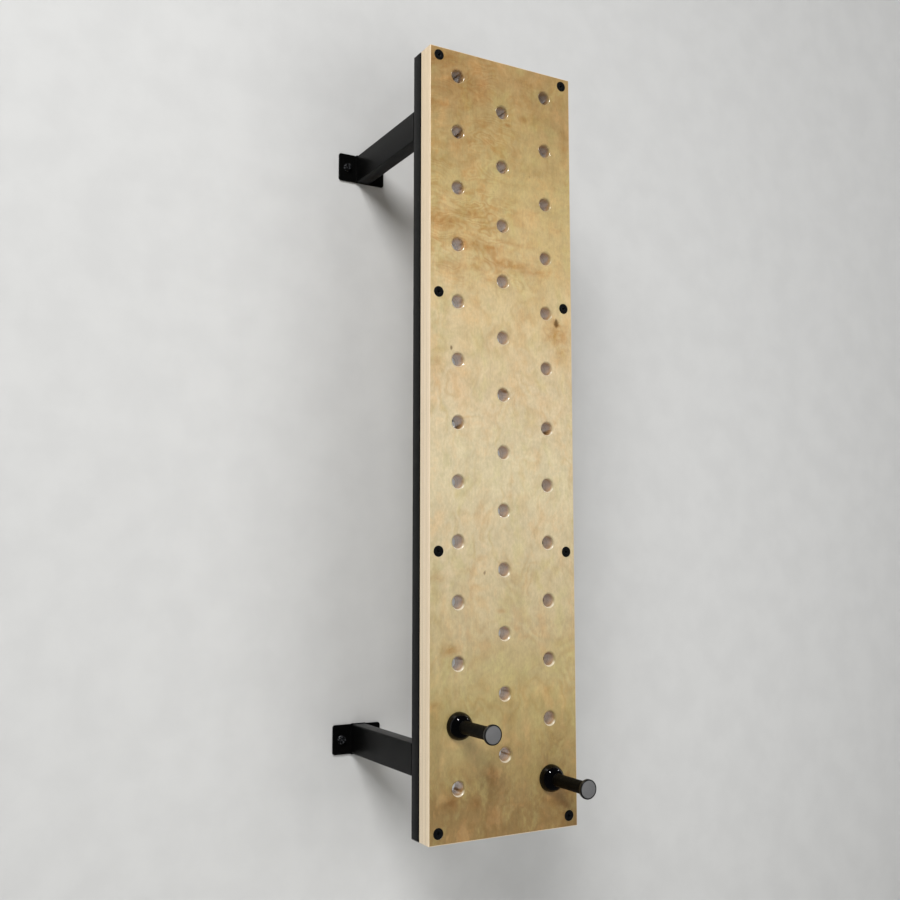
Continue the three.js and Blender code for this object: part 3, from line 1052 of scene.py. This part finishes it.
def fit(
    name: str, mesh: Mesh, nodes: list[str], body: str = BODY, finishes: tuple[Material, ...] = ()
) -> bpy.types.Object:
    """Puts a finished mesh in the scene in place of CAD nodes.

    Args:
        name: Name of the piece.
        mesh: Its mesh, in place.
        nodes: CAD nodes that it stands for.
        body: Body that it rides on.
        finishes: Materials, where the mesh has none yet.

    Returns:
        The piece.
    """
    for finish in finishes:
        mesh.materials.append(finish)
    piece = put(name, mesh)
    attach(piece, body)
    if nodes:
        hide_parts(*nodes)
    log.info("%s: %d faces for %d nodes", name, len(mesh.polygons), len(nodes))
    return piece


def dressed_copy(node: str, finish: Material, soften: float = 0.0005) -> None:
    """Stands a smooth-shaded copy in for a CAD node, with its outer edges eased.

    Args:
        node: Name of the CAD node.
        finish: Its material.
        soften: Width of the eased edges.
    """
    shape = bmesh.new()
    shape.from_mesh(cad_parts[node].data)
    bmesh.ops.remove_doubles(shape, verts=shape.verts, dist=WELD_TOLERANCE)
    flat = math.radians(FLAT_ANGLE)
    bmesh.ops.dissolve_limit(shape, angle_limit=flat, verts=shape.verts, edges=shape.edges)
    mesh = to_mesh(f"{node}_shell", shape)
    mesh.materials.clear()
    shade(mesh, TUBE_CRISP_ANGLE)
    piece = fit(f"{node}_shell", mesh, [node], finishes=(finish,))
    edge = piece.modifiers.new("eased_edges", "BEVEL")
    edge.width, edge.segments = soften, 2
    edge.limit_method, edge.angle_limit = "ANGLE", math.radians(EASED_ANGLE)
    edge.harden_normals = True


@dataclass
class PlywoodPanel:
    """The pierced front panel with its rounded rims."""

    node: str = "front_panel"
    hole_radius: float = 0.017
    column_pitch: float = 0.135
    row_pitch: float = 0.1495
    wide_step: float = 0.0105
    outer_first: float = 0.1275
    middle_first: float = 0.197
    outer_rows: int = 13
    middle_rows: int = 12
    outer_wide_after: tuple[int, ...] = (6,)
    middle_wide_after: tuple[int, ...] = (2, 9)
    edge_round: float = 0.002
    mouth_round: float = 0.004
    back_round: float = 0.001
    hole_steps: int = 64
    screw_steps: int = 32
    arc_steps: int = 5
    mouth_steps: int = 8
    head_radius: float = 0.01405
    shank_radius: float = 0.0063
    head_land: float = 0.001
    flat_normal: float = 0.9999

    def __post_init__(self) -> None:
        """Reads the panel's place from the frame."""
        self.low, self.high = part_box(self.node)
        self.width, self.thickness, self.height = self.high - self.low

    def rows(self, first: float, count: int, wide_after: tuple[int, ...]) -> list[float]:
        """Lists the heights of one column's holes.

        Args:
            first: Height of the lowest hole.
            count: Number of holes.
            wide_after: Rows that a wider step follows.

        Returns:
            The heights from the bottom of the panel.
        """
        extra = [sum(i > wide for wide in wide_after) for i in range(count)]
        return [first + i * self.row_pitch + n * self.wide_step for i, n in enumerate(extra)]

    def hole_places(self) -> list[Vector]:
        """Lists the hole centres.

        Returns:
            The centres from the panel's middle.
        """
        outer = self.rows(self.outer_first, self.outer_rows, self.outer_wide_after)
        middle = self.rows(self.middle_first, self.middle_rows, self.middle_wide_after)
        return [
            Vector((place * self.column_pitch, z - self.height / 2, 0.0))
            for place, heights in ((-1, outer), (0, middle), (1, outer))
            for z in heights
        ]

    def screw_places(self) -> list[Vector]:
        """Lists the screw centres, read from the screws' nodes.

        Returns:
            The centres from the panel's middle.
        """
        boxes = [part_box(f"{side.word}_panel_screw_{i}") for side in Side for i in SCREW_NUMBERS]
        middles = [(low + high) / 2 - (self.low + self.high) / 2 for low, high in boxes]
        return [Vector((middle.x, middle.z, 0.0)) for middle in middles]

    def peg_lining(self) -> Mesh:
        """Makes the wall of one peg hole, with its mouth rounded over and its back edge eased.

        Returns:
            The wall, open at both ends.
        """
        radius, lip, ease = self.hole_radius, self.mouth_round, self.back_round
        front = arc((radius + lip, self.thickness - lip), lip, 90, 180, self.mouth_steps)
        back = arc((radius + ease, ease), ease, 180, 270, self.arc_steps)
        return lathe("peg_lining", front + back, self.hole_steps, closed=False)

    def screw_lining(self) -> Mesh:
        """Makes the wall of one countersunk screw hole.

        Returns:
            The wall, open at both ends.
        """
        head, shank = self.head_radius, self.shank_radius
        seat = self.thickness - self.head_land
        profile = [(head, self.thickness), (head, seat), (shank, seat - head + shank), (shank, 0.0)]
        return lathe("screw_lining", profile, self.screw_steps, closed=False)

    def rim(self) -> Mesh:
        """Makes the four edges of the board, rounded where they meet the faces.

        Returns:
            The edges, in a flat frame about the panel's middle with the front at +Z.
        """
        lip, steps = self.edge_round, self.arc_steps
        outline = arc((0.0, self.thickness - lip), lip, 90, 0, steps) + arc((0.0, lip), lip, 0, -90, steps)
        side, top = self.width / 2 - lip, self.height / 2 - lip
        corners = ((side, top, 0), (-side, top, 90), (-side, -top, 180), (side, -top, 270))
        shape = bmesh.new()
        loops = []
        for bend, z in outline:
            loop = [p for x, y, turn in corners for p in arc((x, y), bend, turn, turn + 90, steps)]
            loops.append([shape.verts.new((x, y, z)) for x, y in loop])
        for upper, lower in zip(loops, loops[1:]):
            for i in range(len(upper)):
                j = (i + 1) % len(upper)
                shape.faces.new((upper[i], upper[j], lower[j], lower[i]))
        bmesh.ops.dissolve_degenerate(shape, dist=WELD_TOLERANCE / 10, edges=shape.edges)
        return to_mesh("board_rim", shape)

    def build(self) -> None:
        """Builds the panel and stands it in for its node."""
        veneer = BirchVeneer(self.low, self.height)
        face = veneer.make()
        edge, bore = (PlyEdge(self.low.y, self.thickness, kind, veneer).make() for kind in PlyFinish)
        helpers = {
            "Peg_Points": points_mesh("peg_points", self.hole_places()),
            "Screw_Points": points_mesh("screw_points", self.screw_places()),
            "Peg_Lining": self.peg_lining(),
            "Screw_Lining": self.screw_lining(),
        }
        helpers = {label: put(mesh.name, mesh) for label, mesh in helpers.items()}
        mesh = board_tool().run(
            self.rim(),
            Skin_Width=self.width - 2 * self.edge_round,
            Skin_Height=self.height - 2 * self.edge_round,
            Thickness=self.thickness,
            Peg_Mouth=self.hole_radius + self.mouth_round,
            Peg_Back=self.hole_radius + self.back_round,
            Head_Mouth=self.head_radius,
            Shank_Mouth=self.shank_radius,
            Peg_Steps=self.hole_steps,
            Screw_Steps=self.screw_steps,
            Face=face,
            Edge=edge,
            Bore=bore,
            **helpers,
        )
        for extra in helpers.values():
            bpy.data.objects.remove(extra)
        middle = (self.low + self.high) / 2
        stand = Matrix.Translation((middle.x, self.high.y, middle.z))
        mesh.transform(stand @ Matrix.Rotation(math.pi / 2, 4, "X"))
        shape = bmesh.new()
        shape.from_mesh(mesh)
        bmesh.ops.recalc_face_normals(shape, faces=shape.faces)
        shape.to_mesh(mesh)
        log.info("panel: %d open edges", sum(not e.is_manifold for e in shape.edges))
        shape.free()
        shade(mesh)
        for polygon in mesh.polygons:
            polygon.use_smooth = abs(polygon.normal.y) < self.flat_normal
        fit("panel_board", mesh, [self.node])


@dataclass
class Fasteners:
    """Equal turned fasteners that stand along Y, each turned by its own chance angle."""

    name: str
    seed: int
    head_height: float = 0.0
    shank_radius: float = 0.006
    steps: int = 48

    def outline(self, shank: float) -> tuple[list[Pair], float, float]:
        """Gives the shape of one fastener.

        Args:
            shank: Length behind the seat.

        Returns:
            Radius and Y of each point, the radius of the hexagon's corners and the Y where it ends.
        """
        raise NotImplementedError

    def build(self, nodes: list[str], scatter: NodeTool, finish: Material) -> None:
        """Sets all fasteners and stands them in for their nodes.

        Args:
            nodes: The nodes.
            scatter: Tree that sets a piece at points.
            finish: Its material.
        """
        boxes = [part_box(node) for node in nodes]
        seat = boxes[0][0].y + self.head_height
        places = [Vector(((low.x + high.x) / 2, seat, (low.z + high.z) / 2)) for low, high in boxes]
        profile, corner, deepest = self.outline(boxes[0][1].y - seat)
        one = lathe(f"{self.name}_sample", profile, self.steps)
        hexagon(one, corner, deepest)
        one.transform(LAID_ALONG_Y)
        shade(one)
        sample = put(one.name, one)
        points = points_mesh(f"{self.name}_places", places)
        mesh = scatter.run(points, Piece=sample, Turn=math.tau, Seed=self.seed, Finish=finish)
        bpy.data.objects.remove(sample)
        fit(self.name, mesh, nodes)


@dataclass
class PanelScrews(Fasteners):
    """The eight countersunk socket screws."""

    head_radius: float = 0.01375
    head_land: float = 0.001
    head_round: float = 0.0006
    socket_flats: float = 0.008
    socket_depth: float = 0.0045
    dimple: float = 0.0008
    dimple_share: float = 0.55
    tip_bevel: float = 0.001
    round_steps: int = 3

    def outline(self, shank: float) -> tuple[list[Pair], float, float]:
        """Gives the shape of one screw, with its head's face at 0.

        Args:
            shank: Length behind that face.

        Returns:
            As for every fastener.
        """
        ease, head, depth = self.head_round, self.head_radius, self.socket_depth
        corner = self.socket_flats / 2 / math.cos(SIXTH_TURN / 2)
        profile = [
            (0.0, depth + self.dimple),
            (corner * self.dimple_share, depth),
            (corner, depth),
            (corner, ease),
            (corner + ease, 0.0),
            *arc((head - ease, ease), ease, -90, 0, self.round_steps),
            (head, self.head_land),
            (self.shank_radius, self.head_land + head - self.shank_radius),
            (self.shank_radius, shank - self.tip_bevel),
            (self.shank_radius - self.tip_bevel, shank),
            (0.0, shank),
        ]
        return profile, corner, depth


@dataclass
class WallBolts(Fasteners):
    """The eight flanged hexagon bolts of the wall plates."""

    flange_radius: float = 0.0125
    flange_edge: float = 0.0015
    flange_rise: float = 0.003
    flange_bevel: float = 0.0004
    across_flats: float = 0.018
    head_dish: float = 0.0008
    dish_shares: Pair = (0.6, 0.68)
    top_share: float = 0.95
    corner_drop: float = 0.0009

    def outline(self, shank: float) -> tuple[list[Pair], float, float]:
        """Gives the shape of one bolt, with its flange's underside at 0.

        Args:
            shank: Length behind the flange.

        Returns:
            As for every fastener.
        """
        flat, top, rise, ease = self.across_flats / 2, -self.head_height, -self.flange_rise, self.flange_bevel
        corner = flat / math.cos(SIXTH_TURN / 2)
        profile = [
            (0.0, top + self.head_dish),
            (flat * self.dish_shares[0], top + self.head_dish),
            (flat * self.dish_shares[1], top),
            (flat * self.top_share, top),
            (corner, top + self.corner_drop),
            (corner, rise),
            (corner + ease, rise + ease / 2),
            (self.flange_radius - ease, -self.flange_edge),
            (self.flange_radius, ease - self.flange_edge),
            (self.flange_radius, -SEAT_GAP),
            (self.flange_radius - SEAT_GAP, 0.0),
            (self.shank_radius, 0.0),
            (self.shank_radius, shank),
            (0.0, shank),
        ]
        return profile, corner, rise


@dataclass
class StandoffFrame:
    """The welded steel frame, its arms and its wall plates."""

    bead_radius: float = 0.0014
    bead_ripple: float = 0.0002
    bead_pitch: float = 0.0026
    bead_sides: int = 10
    # share of its radius by which a bead sinks in the steel
    bead_sink: float = 0.45
    plate_soften: float = 0.0008

    def build(self, ripple: NodeTool, coat: Material, nylon: Material) -> None:
        """Dresses the tubes and plates and lays the weld beads.

        Args:
            ripple: Tree that sweeps a rippled bar.
            coat: Powder coat.
            nylon: Material of the tube caps.
        """
        for place in ("bottom", "middle", "top"):
            dressed_copy(f"{place}_crossbar", coat)
        for side in Side:
            dressed_copy(f"{side.word}_upright", coat)
            for end in ("top", "bottom"):
                dressed_copy(f"{side.word}_upright_{end}_cap", nylon)
            for level in Level:
                name = f"{level.value}_{side.word}"
                dressed_copy(f"{name}_arm", coat)
                dressed_copy(f"{name}_wall_plate", coat, self.plate_soften)
                self.weld(name, ripple, coat)

    def weld(self, name: str, ripple: NodeTool, coat: Material) -> None:
        """Lays a fillet bead round the wall end of an arm.

        Args:
            name: Level and side of the arm.
            ripple: Tree that sweeps a rippled bar.
            coat: Powder coat.
        """
        low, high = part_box(f"{name}_arm")
        sink = self.bead_radius * self.bead_sink
        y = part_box(f"{name}_wall_plate")[0].y - sink
        left, right, under, over = low.x - sink, high.x + sink, low.z - sink, high.z + sink
        corners = [Vector((x, y, z)) for x, z in ((left, under), (right, under), (right, over), (left, over))]
        mesh = ripple.run(
            points_mesh("bead_path", corners, loop=True),
            Radius=self.bead_radius,
            Ripple=self.bead_ripple,
            Pitch=self.bead_pitch,
            Sides=self.bead_sides,
            Finish=coat,
        )
        fit(f"{name}_arm_wall_bead", mesh, [])


@dataclass
class HandPeg:
    """One hand peg: tube, tip plug, domed collar, rubber grip, end flange and end disc."""

    name: str
    tube_radius: float = 0.015
    tube_wall: float = 0.0025
    collar_land: float = 0.0015
    collar_ease: float = 0.0005
    dome_steps: int = 28
    bead_radius: float = 0.017
    bead_round: float = 0.001
    bead_length: float = 0.005
    bead_steps: tuple[int, int] = (4, 3)
    grip_crisp: float = EASED_ANGLE
    grip_radius: float = 0.016
    rib_height: float = 0.00022
    rib_pitch: float = 0.0026
    rib_steps: int = 6
    flange_round: float = 0.0022
    flange_steps: int = 6
    recess_bevel: float = 0.0004
    disc_thickness: float = 0.0024
    disc_bevel: float = 0.0008
    disc_steps: int = 4
    plug_steps: int = 8
    spigot_wall: float = 0.003
    steps: int = 96

    def __post_init__(self) -> None:
        """Reads the peg's axis from the frame."""
        low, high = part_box(f"{self.name}_collar")
        self.axis = Vector(((low.x + high.x) / 2, high.y, (low.z + high.z) / 2))
        self.sleeve_bore = self.tube_radius + SEAT_GAP

    def span(self, part: str) -> Triple:
        """Gives a part's front and back along Y and its outer radius."""
        low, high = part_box(f"{self.name}_{part}")
        return low.y, high.y, (high.z - low.z) / 2

    def turn(
        self, part: str, profile: list[Pair], slot: str, finish: Material, sharp: float = CRISP_ANGLE
    ) -> None:
        """Turns a part about the peg's axis and stands it in for its node.

        Args:
            part: Name of the part in its node's name.
            profile: Radius and Y of each point.
            slot: Not used.
            finish: Its material.
            sharp: Angle in degrees past which an edge stays crisp.
        """
        node = f"{self.name}_{part}"
        mesh = lathe(node, profile, self.steps)
        mesh.transform(LAID_ALONG_Y)
        mesh.transform(Matrix.Translation((self.axis.x, 0.0, self.axis.z)))
        shade(mesh, sharp)
        fit(f"{node}_turned", mesh, [node], self.name, (finish,))

    def build(self, gloss: Material, rubber: Material, nylon: Material, metal: Material) -> None:
        """Builds all six parts.

        Args:
            gloss: Material of the collar.
            rubber: Material of the grip.
            nylon: Material of the end flange and the tip plug.
            metal: Material of the end disc and the tube.
        """
        self.turn("collar", self.collar(), "gloss_plastic", gloss)
        self.turn("grip", self.grip(), "rubber_grip", rubber, self.grip_crisp)
        self.turn("end_flange", self.end_flange(), "black_plastic", nylon)
        self.turn("end_disc", self.end_disc(), "aluminium", metal)
        near, far, outer = self.span("tube")
        inner = outer - self.tube_wall
        wall = [(inner, near), (outer, near), (outer, far), (inner, far), (inner, near)]
        self.turn("tube", wall, "aluminium", metal)
        self.turn("tip_plug", self.tip_plug(far + SEAT_GAP, inner - SEAT_GAP), "black_plastic", nylon)

    def collar(self) -> list[Pair]:
        """Outlines the domed stop collar.

        Returns:
            Radius and Y of each point.
        """
        tip, base, radius = self.span("collar")
        bore, ease, land = self.sleeve_bore, self.collar_ease, base - self.collar_land
        reach = math.acos(self.bead_radius / radius)
        rise = (land - tip) / math.sin(reach)
        angles = [reach * i / self.dome_steps for i in range(self.dome_steps, -1, -1)]
        dome = [(radius * math.cos(a), land - rise * math.sin(a)) for a in angles]
        return [(bore, tip), *dome, (radius, base - ease), (radius - ease, base), (bore, base), (bore, tip)]

    def grip(self) -> list[Pair]:
        """Outlines the rubber sleeve with fine ribs between its end beads.

        Returns:
            Radius and Y of each point.
        """
        front, back, _ = self.span("grip")
        ease, length = self.bead_round, self.bead_length
        bead, (outer, inner) = self.bead_radius - ease, self.bead_steps
        start, end = front + length, back - length
        count = round((end - start) / self.rib_pitch) * self.rib_steps
        ribs = []
        for i in range(count + 1):
            wave = (1 - math.cos(math.tau * i / self.rib_steps)) / 2
            ribs.append((self.grip_radius - self.rib_height * wave, start + (end - start) * i / count))
        return [
            (self.sleeve_bore, front),
            *arc((bead, front + ease), ease, -90, 0, outer),
            *arc((bead, front + length / 2), ease, 0, 45, inner),
            *ribs,
            *arc((bead, back - length / 2), ease, -45, 0, inner),
            *arc((bead, back - ease), ease, 0, 90, outer),
            (self.sleeve_bore, back),
            (self.sleeve_bore, front),
        ]

    def end_flange(self) -> list[Pair]:
        """Outlines the end flange, with the disc's recess in its face.

        Returns:
            Radius and Y of each point.
        """
        front, back, radius = self.span("end_flange")
        disc_front, _, disc_radius = self.span("end_disc")
        bore, lip, recess = self.sleeve_bore, self.flange_round, disc_radius + SEAT_GAP
        floor = disc_front + self.disc_thickness + SEAT_GAP
        return [
            (bore, floor),
            (recess, floor),
            (recess, front + self.recess_bevel),
            ((radius - lip + recess) / 2, front),
            *arc((radius - lip, front + lip), lip, -90, 0, self.flange_steps),
            *arc((radius - lip, back - lip), lip, 0, 90, self.flange_steps),
            (bore, back),
            (bore, floor),
        ]

    def end_disc(self) -> list[Pair]:
        """Outlines the disc with its spigot.

        Returns:
            Radius and Y of each point.
        """
        front, back, radius = self.span("end_disc")
        spigot = self.tube_radius - self.tube_wall - SEAT_GAP
        ease, under, inner = self.disc_bevel, front + self.disc_thickness, spigot - self.spigot_wall
        return [
            (0.0, front),
            *arc((radius - ease, front + ease), ease, -90, 0, self.disc_steps),
            (radius, under),
            (spigot, under),
            (spigot, back),
            (inner, back),
            (inner, under),
            (0.0, under),
        ]

    def tip_plug(self, shoulder: float, neck: float) -> list[Pair]:
        """Outlines the rounded plug in the tube's inserted end.

        Args:
            shoulder: Y of the face that meets the tube.
            neck: Radius inside the tube.

        Returns:
            Radius and Y of each point.
        """
        start, tip, radius = self.span("tip_plug")
        run = tip - shoulder
        return [
            (0.0, start),
            (neck, start),
            (neck, shoulder),
            (radius, shoulder),
            *arc((radius - run, shoulder), run, 0, 90, self.plug_steps),
            (0.0, tip),
        ]


@dataclass(frozen=True)
class SoftLamp:
    """An oblong lamp: its offset from what it points at, its size, roll in degrees and watts.

    It may be seen in gloss, light matt surfaces, or both.
    """

    name: str
    offset: Triple
    size: Pair
    roll: float
    watts: float
    seen: bool
    lights: bool = True


@dataclass
class Studio:
    """The plain wall and floor, the soft lamps and the camera."""

    camera_from_corner: Triple = (-1.24768, -2.31555, 0.67658)
    yaw: float = 0.51350
    pitch: float = 0.10368
    lens: float = 42.836
    sensor: float = 36.0
    wall_tone: str = "#C6C6C5"
    floor_tone: str = "#E2E2E0"
    speck_tone: str = "#E4E4E2"
    air_tone: str = "#F4F4F4"
    air_strength: float = 0.09
    wall_gap: float = 0.0006
    floor_drop: float = 0.65
    spread: float = 9.0
    sight: float = 60.0
    lamps: tuple[SoftLamp, ...] = (
        SoftLamp("key_lamp", (-3.6, -4.5, 4.4), (4.0, 3.1), -35.0, 545.0, False),
        SoftLamp("window_lamp", (-1.65, -1.95, 3.35), (1.1, 0.26), -35.0, 110.0, True, lights=False),
        SoftLamp("side_lamp", (4.2, -0.75, 2.3), (0.5, 0.3), 0.0, 16.0, True),
        SoftLamp("fill_lamp", (0.9, -2.6, -0.35), (2.0, 2.0), 0.0, 30.0, False),
    )

    def backdrop_finish(self, name: str, tone: str) -> Material:
        """Makes a plain matt paint that is clear when seen from behind.

        Args:
            name: Name of the material.
            tone: Its hex colour.

        Returns:
            The material.
        """
        recipe = Recipe(name)
        speck = recipe.grain(recipe.place, 9.0, 4.0)
        colour = recipe.tint(speck, (*NOISE, 0.0, 0.12), tone, self.speck_tone)
        paint = recipe.add("BsdfDiffuse", {"Color": colour})
        behind = recipe.add("NewGeometry", out="Backfacing")
        return recipe.end(recipe.add("MixShader", (behind, paint, recipe.add("BsdfTransparent"))))

    def plane(self, word: str, tone: str, corner: Vector, edge: Vector) -> bpy.types.Object:
        """Adds an oblong stage piece as wide as the studio.

        Args:
            word: What it is.
            tone: Its hex colour.
            corner: Its first corner, at the left.
            edge: Its left edge, from that corner.

        Returns:
            The piece.
        """
        wide = Vector((2 * self.spread, 0.0, 0.0))
        corners = [corner, corner + wide, corner + wide + edge, corner + edge]
        mesh = bpy.data.meshes.new(f"studio_{word}")
        mesh.from_pydata([tuple(c) for c in corners], [], [(0, 1, 2, 3)])
        mesh.materials.append(self.backdrop_finish(f"matt_{word}_paint", tone))
        piece = put(mesh.name, mesh)
        return piece

    def hang(self, lamp: SoftLamp, target: Vector) -> None:
        """Hangs an oblong soft lamp.

        Args:
            lamp: Its place, size and power.
            target: What it points at.
        """
        data = bpy.data.lights.new(lamp.name, "AREA")
        data.shape, data.energy = "RECTANGLE", lamp.watts
        data.size, data.size_y = lamp.size
        piece = put(lamp.name, data)
        piece.location = target + Vector(lamp.offset)
        aim = (-Vector(lamp.offset)).to_track_quat("-Z", "Y")
        piece.rotation_euler = (aim @ Quaternion((0.0, 0.0, 1.0), math.radians(lamp.roll))).to_euler()
        piece.visible_glossy, piece.visible_diffuse = lamp.seen, lamp.lights

    def build(self, low: Vector, high: Vector) -> None:
        """Sets the stage round the panel.

        Args:
            low: Lowest corner of the panel.
            high: Its highest corner.
        """
        far, floor = self.spread, low.z - self.floor_drop
        wall_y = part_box("lower_left_wall_plate")[1].y + self.wall_gap
        self.plane("wall", self.wall_tone, Vector((-far, wall_y, floor)), Vector((0.0, 0.0, far - floor)))
        depth = Vector((0.0, wall_y + far, 0.0))
        ground = self.plane("floor", self.floor_tone, Vector((-far, -far, floor)), depth)
        ground.visible_glossy = False
        for lamp in self.lamps:
            self.hang(lamp, (low + high) / 2)
        world = bpy.data.worlds.new("studio_air")
        world.use_nodes = True
        world.node_tree.nodes.clear()
        links = {"Color": self.air_tone, "Strength": self.air_strength}
        glow = add_node(world.node_tree, "ShaderNodeBackground", links).outputs[0]
        add_node(world.node_tree, "ShaderNodeOutputWorld", {"Surface": glow})
        bpy.context.scene.world = world
        bpy.context.scene.view_settings.view_transform = "Standard"
        self.camera(low)

    def camera(self, corner: Vector) -> None:
        """Puts the camera where the photograph was taken from.

        Args:
            corner: The panel's lower left front corner.
        """
        data = bpy.data.cameras.new("photo_camera")
        data.lens, data.sensor_width, data.sensor_fit = self.lens, self.sensor, "HORIZONTAL"
        data.clip_end = self.sight
        piece = put("photo_camera", data)
        piece.location = corner + Vector(self.camera_from_corner)
        piece.rotation_euler = (math.pi / 2 + self.pitch, 0.0, -self.yaw)
        bpy.context.scene.camera = piece


def dress_nuts(finish: Material) -> None:
    """Gives the hidden rivet nuts their plating.

    Args:
        finish: The plating.
    """
    for side in Side:
        for i in SCREW_NUMBERS:
            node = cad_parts[f"{side.word}_rivet_nut_{i}"]
            node.data.materials.clear()
            node.data.materials.append(finish)
            log.info("%s: dressed", node.name)


def main() -> None:
    """Builds every sub-assembly round the frame."""
    logging.basicConfig(level=logging.INFO, format="%(message)s")
    panel = PlywoodPanel()
    scatter = scatter_tool()
    coat, oxide, nylon = PowderCoat().make(), BlackOxide().make(), MouldedNylon().make()
    panel.build()
    StandoffFrame().build(ripple_tool(), coat, nylon)
    screws = [f"{side.word}_panel_screw_{i}" for side in Side for i in SCREW_NUMBERS]
    PanelScrews("panel_screws", seed=7).build(screws, scatter, oxide)
    arms = [f"{level.value}_{side.word}" for level in Level for side in Side]
    bolts = [f"{arm}_{end}_wall_bolt" for arm in arms for end in ("outer", "inner")]
    oiled = BlackOxide("oiled_bolt_steel", "#85878B", (0.2, 0.32)).make()
    WallBolts("wall_bolts", seed=3, head_height=0.010).build(bolts, scatter, oiled)
    dress_nuts(ZincPlate().make())
    gloss, rubber = PolishedPhenolic().make(), MouldedRubber().make()
    for side in Side:
        peg = HandPeg(f"{side.word}_peg")
        peg.build(gloss, rubber, nylon, TurnedAluminium(peg.axis).make())
    Studio().build(panel.low, panel.high)


if __name__ == "__main__":
    main()
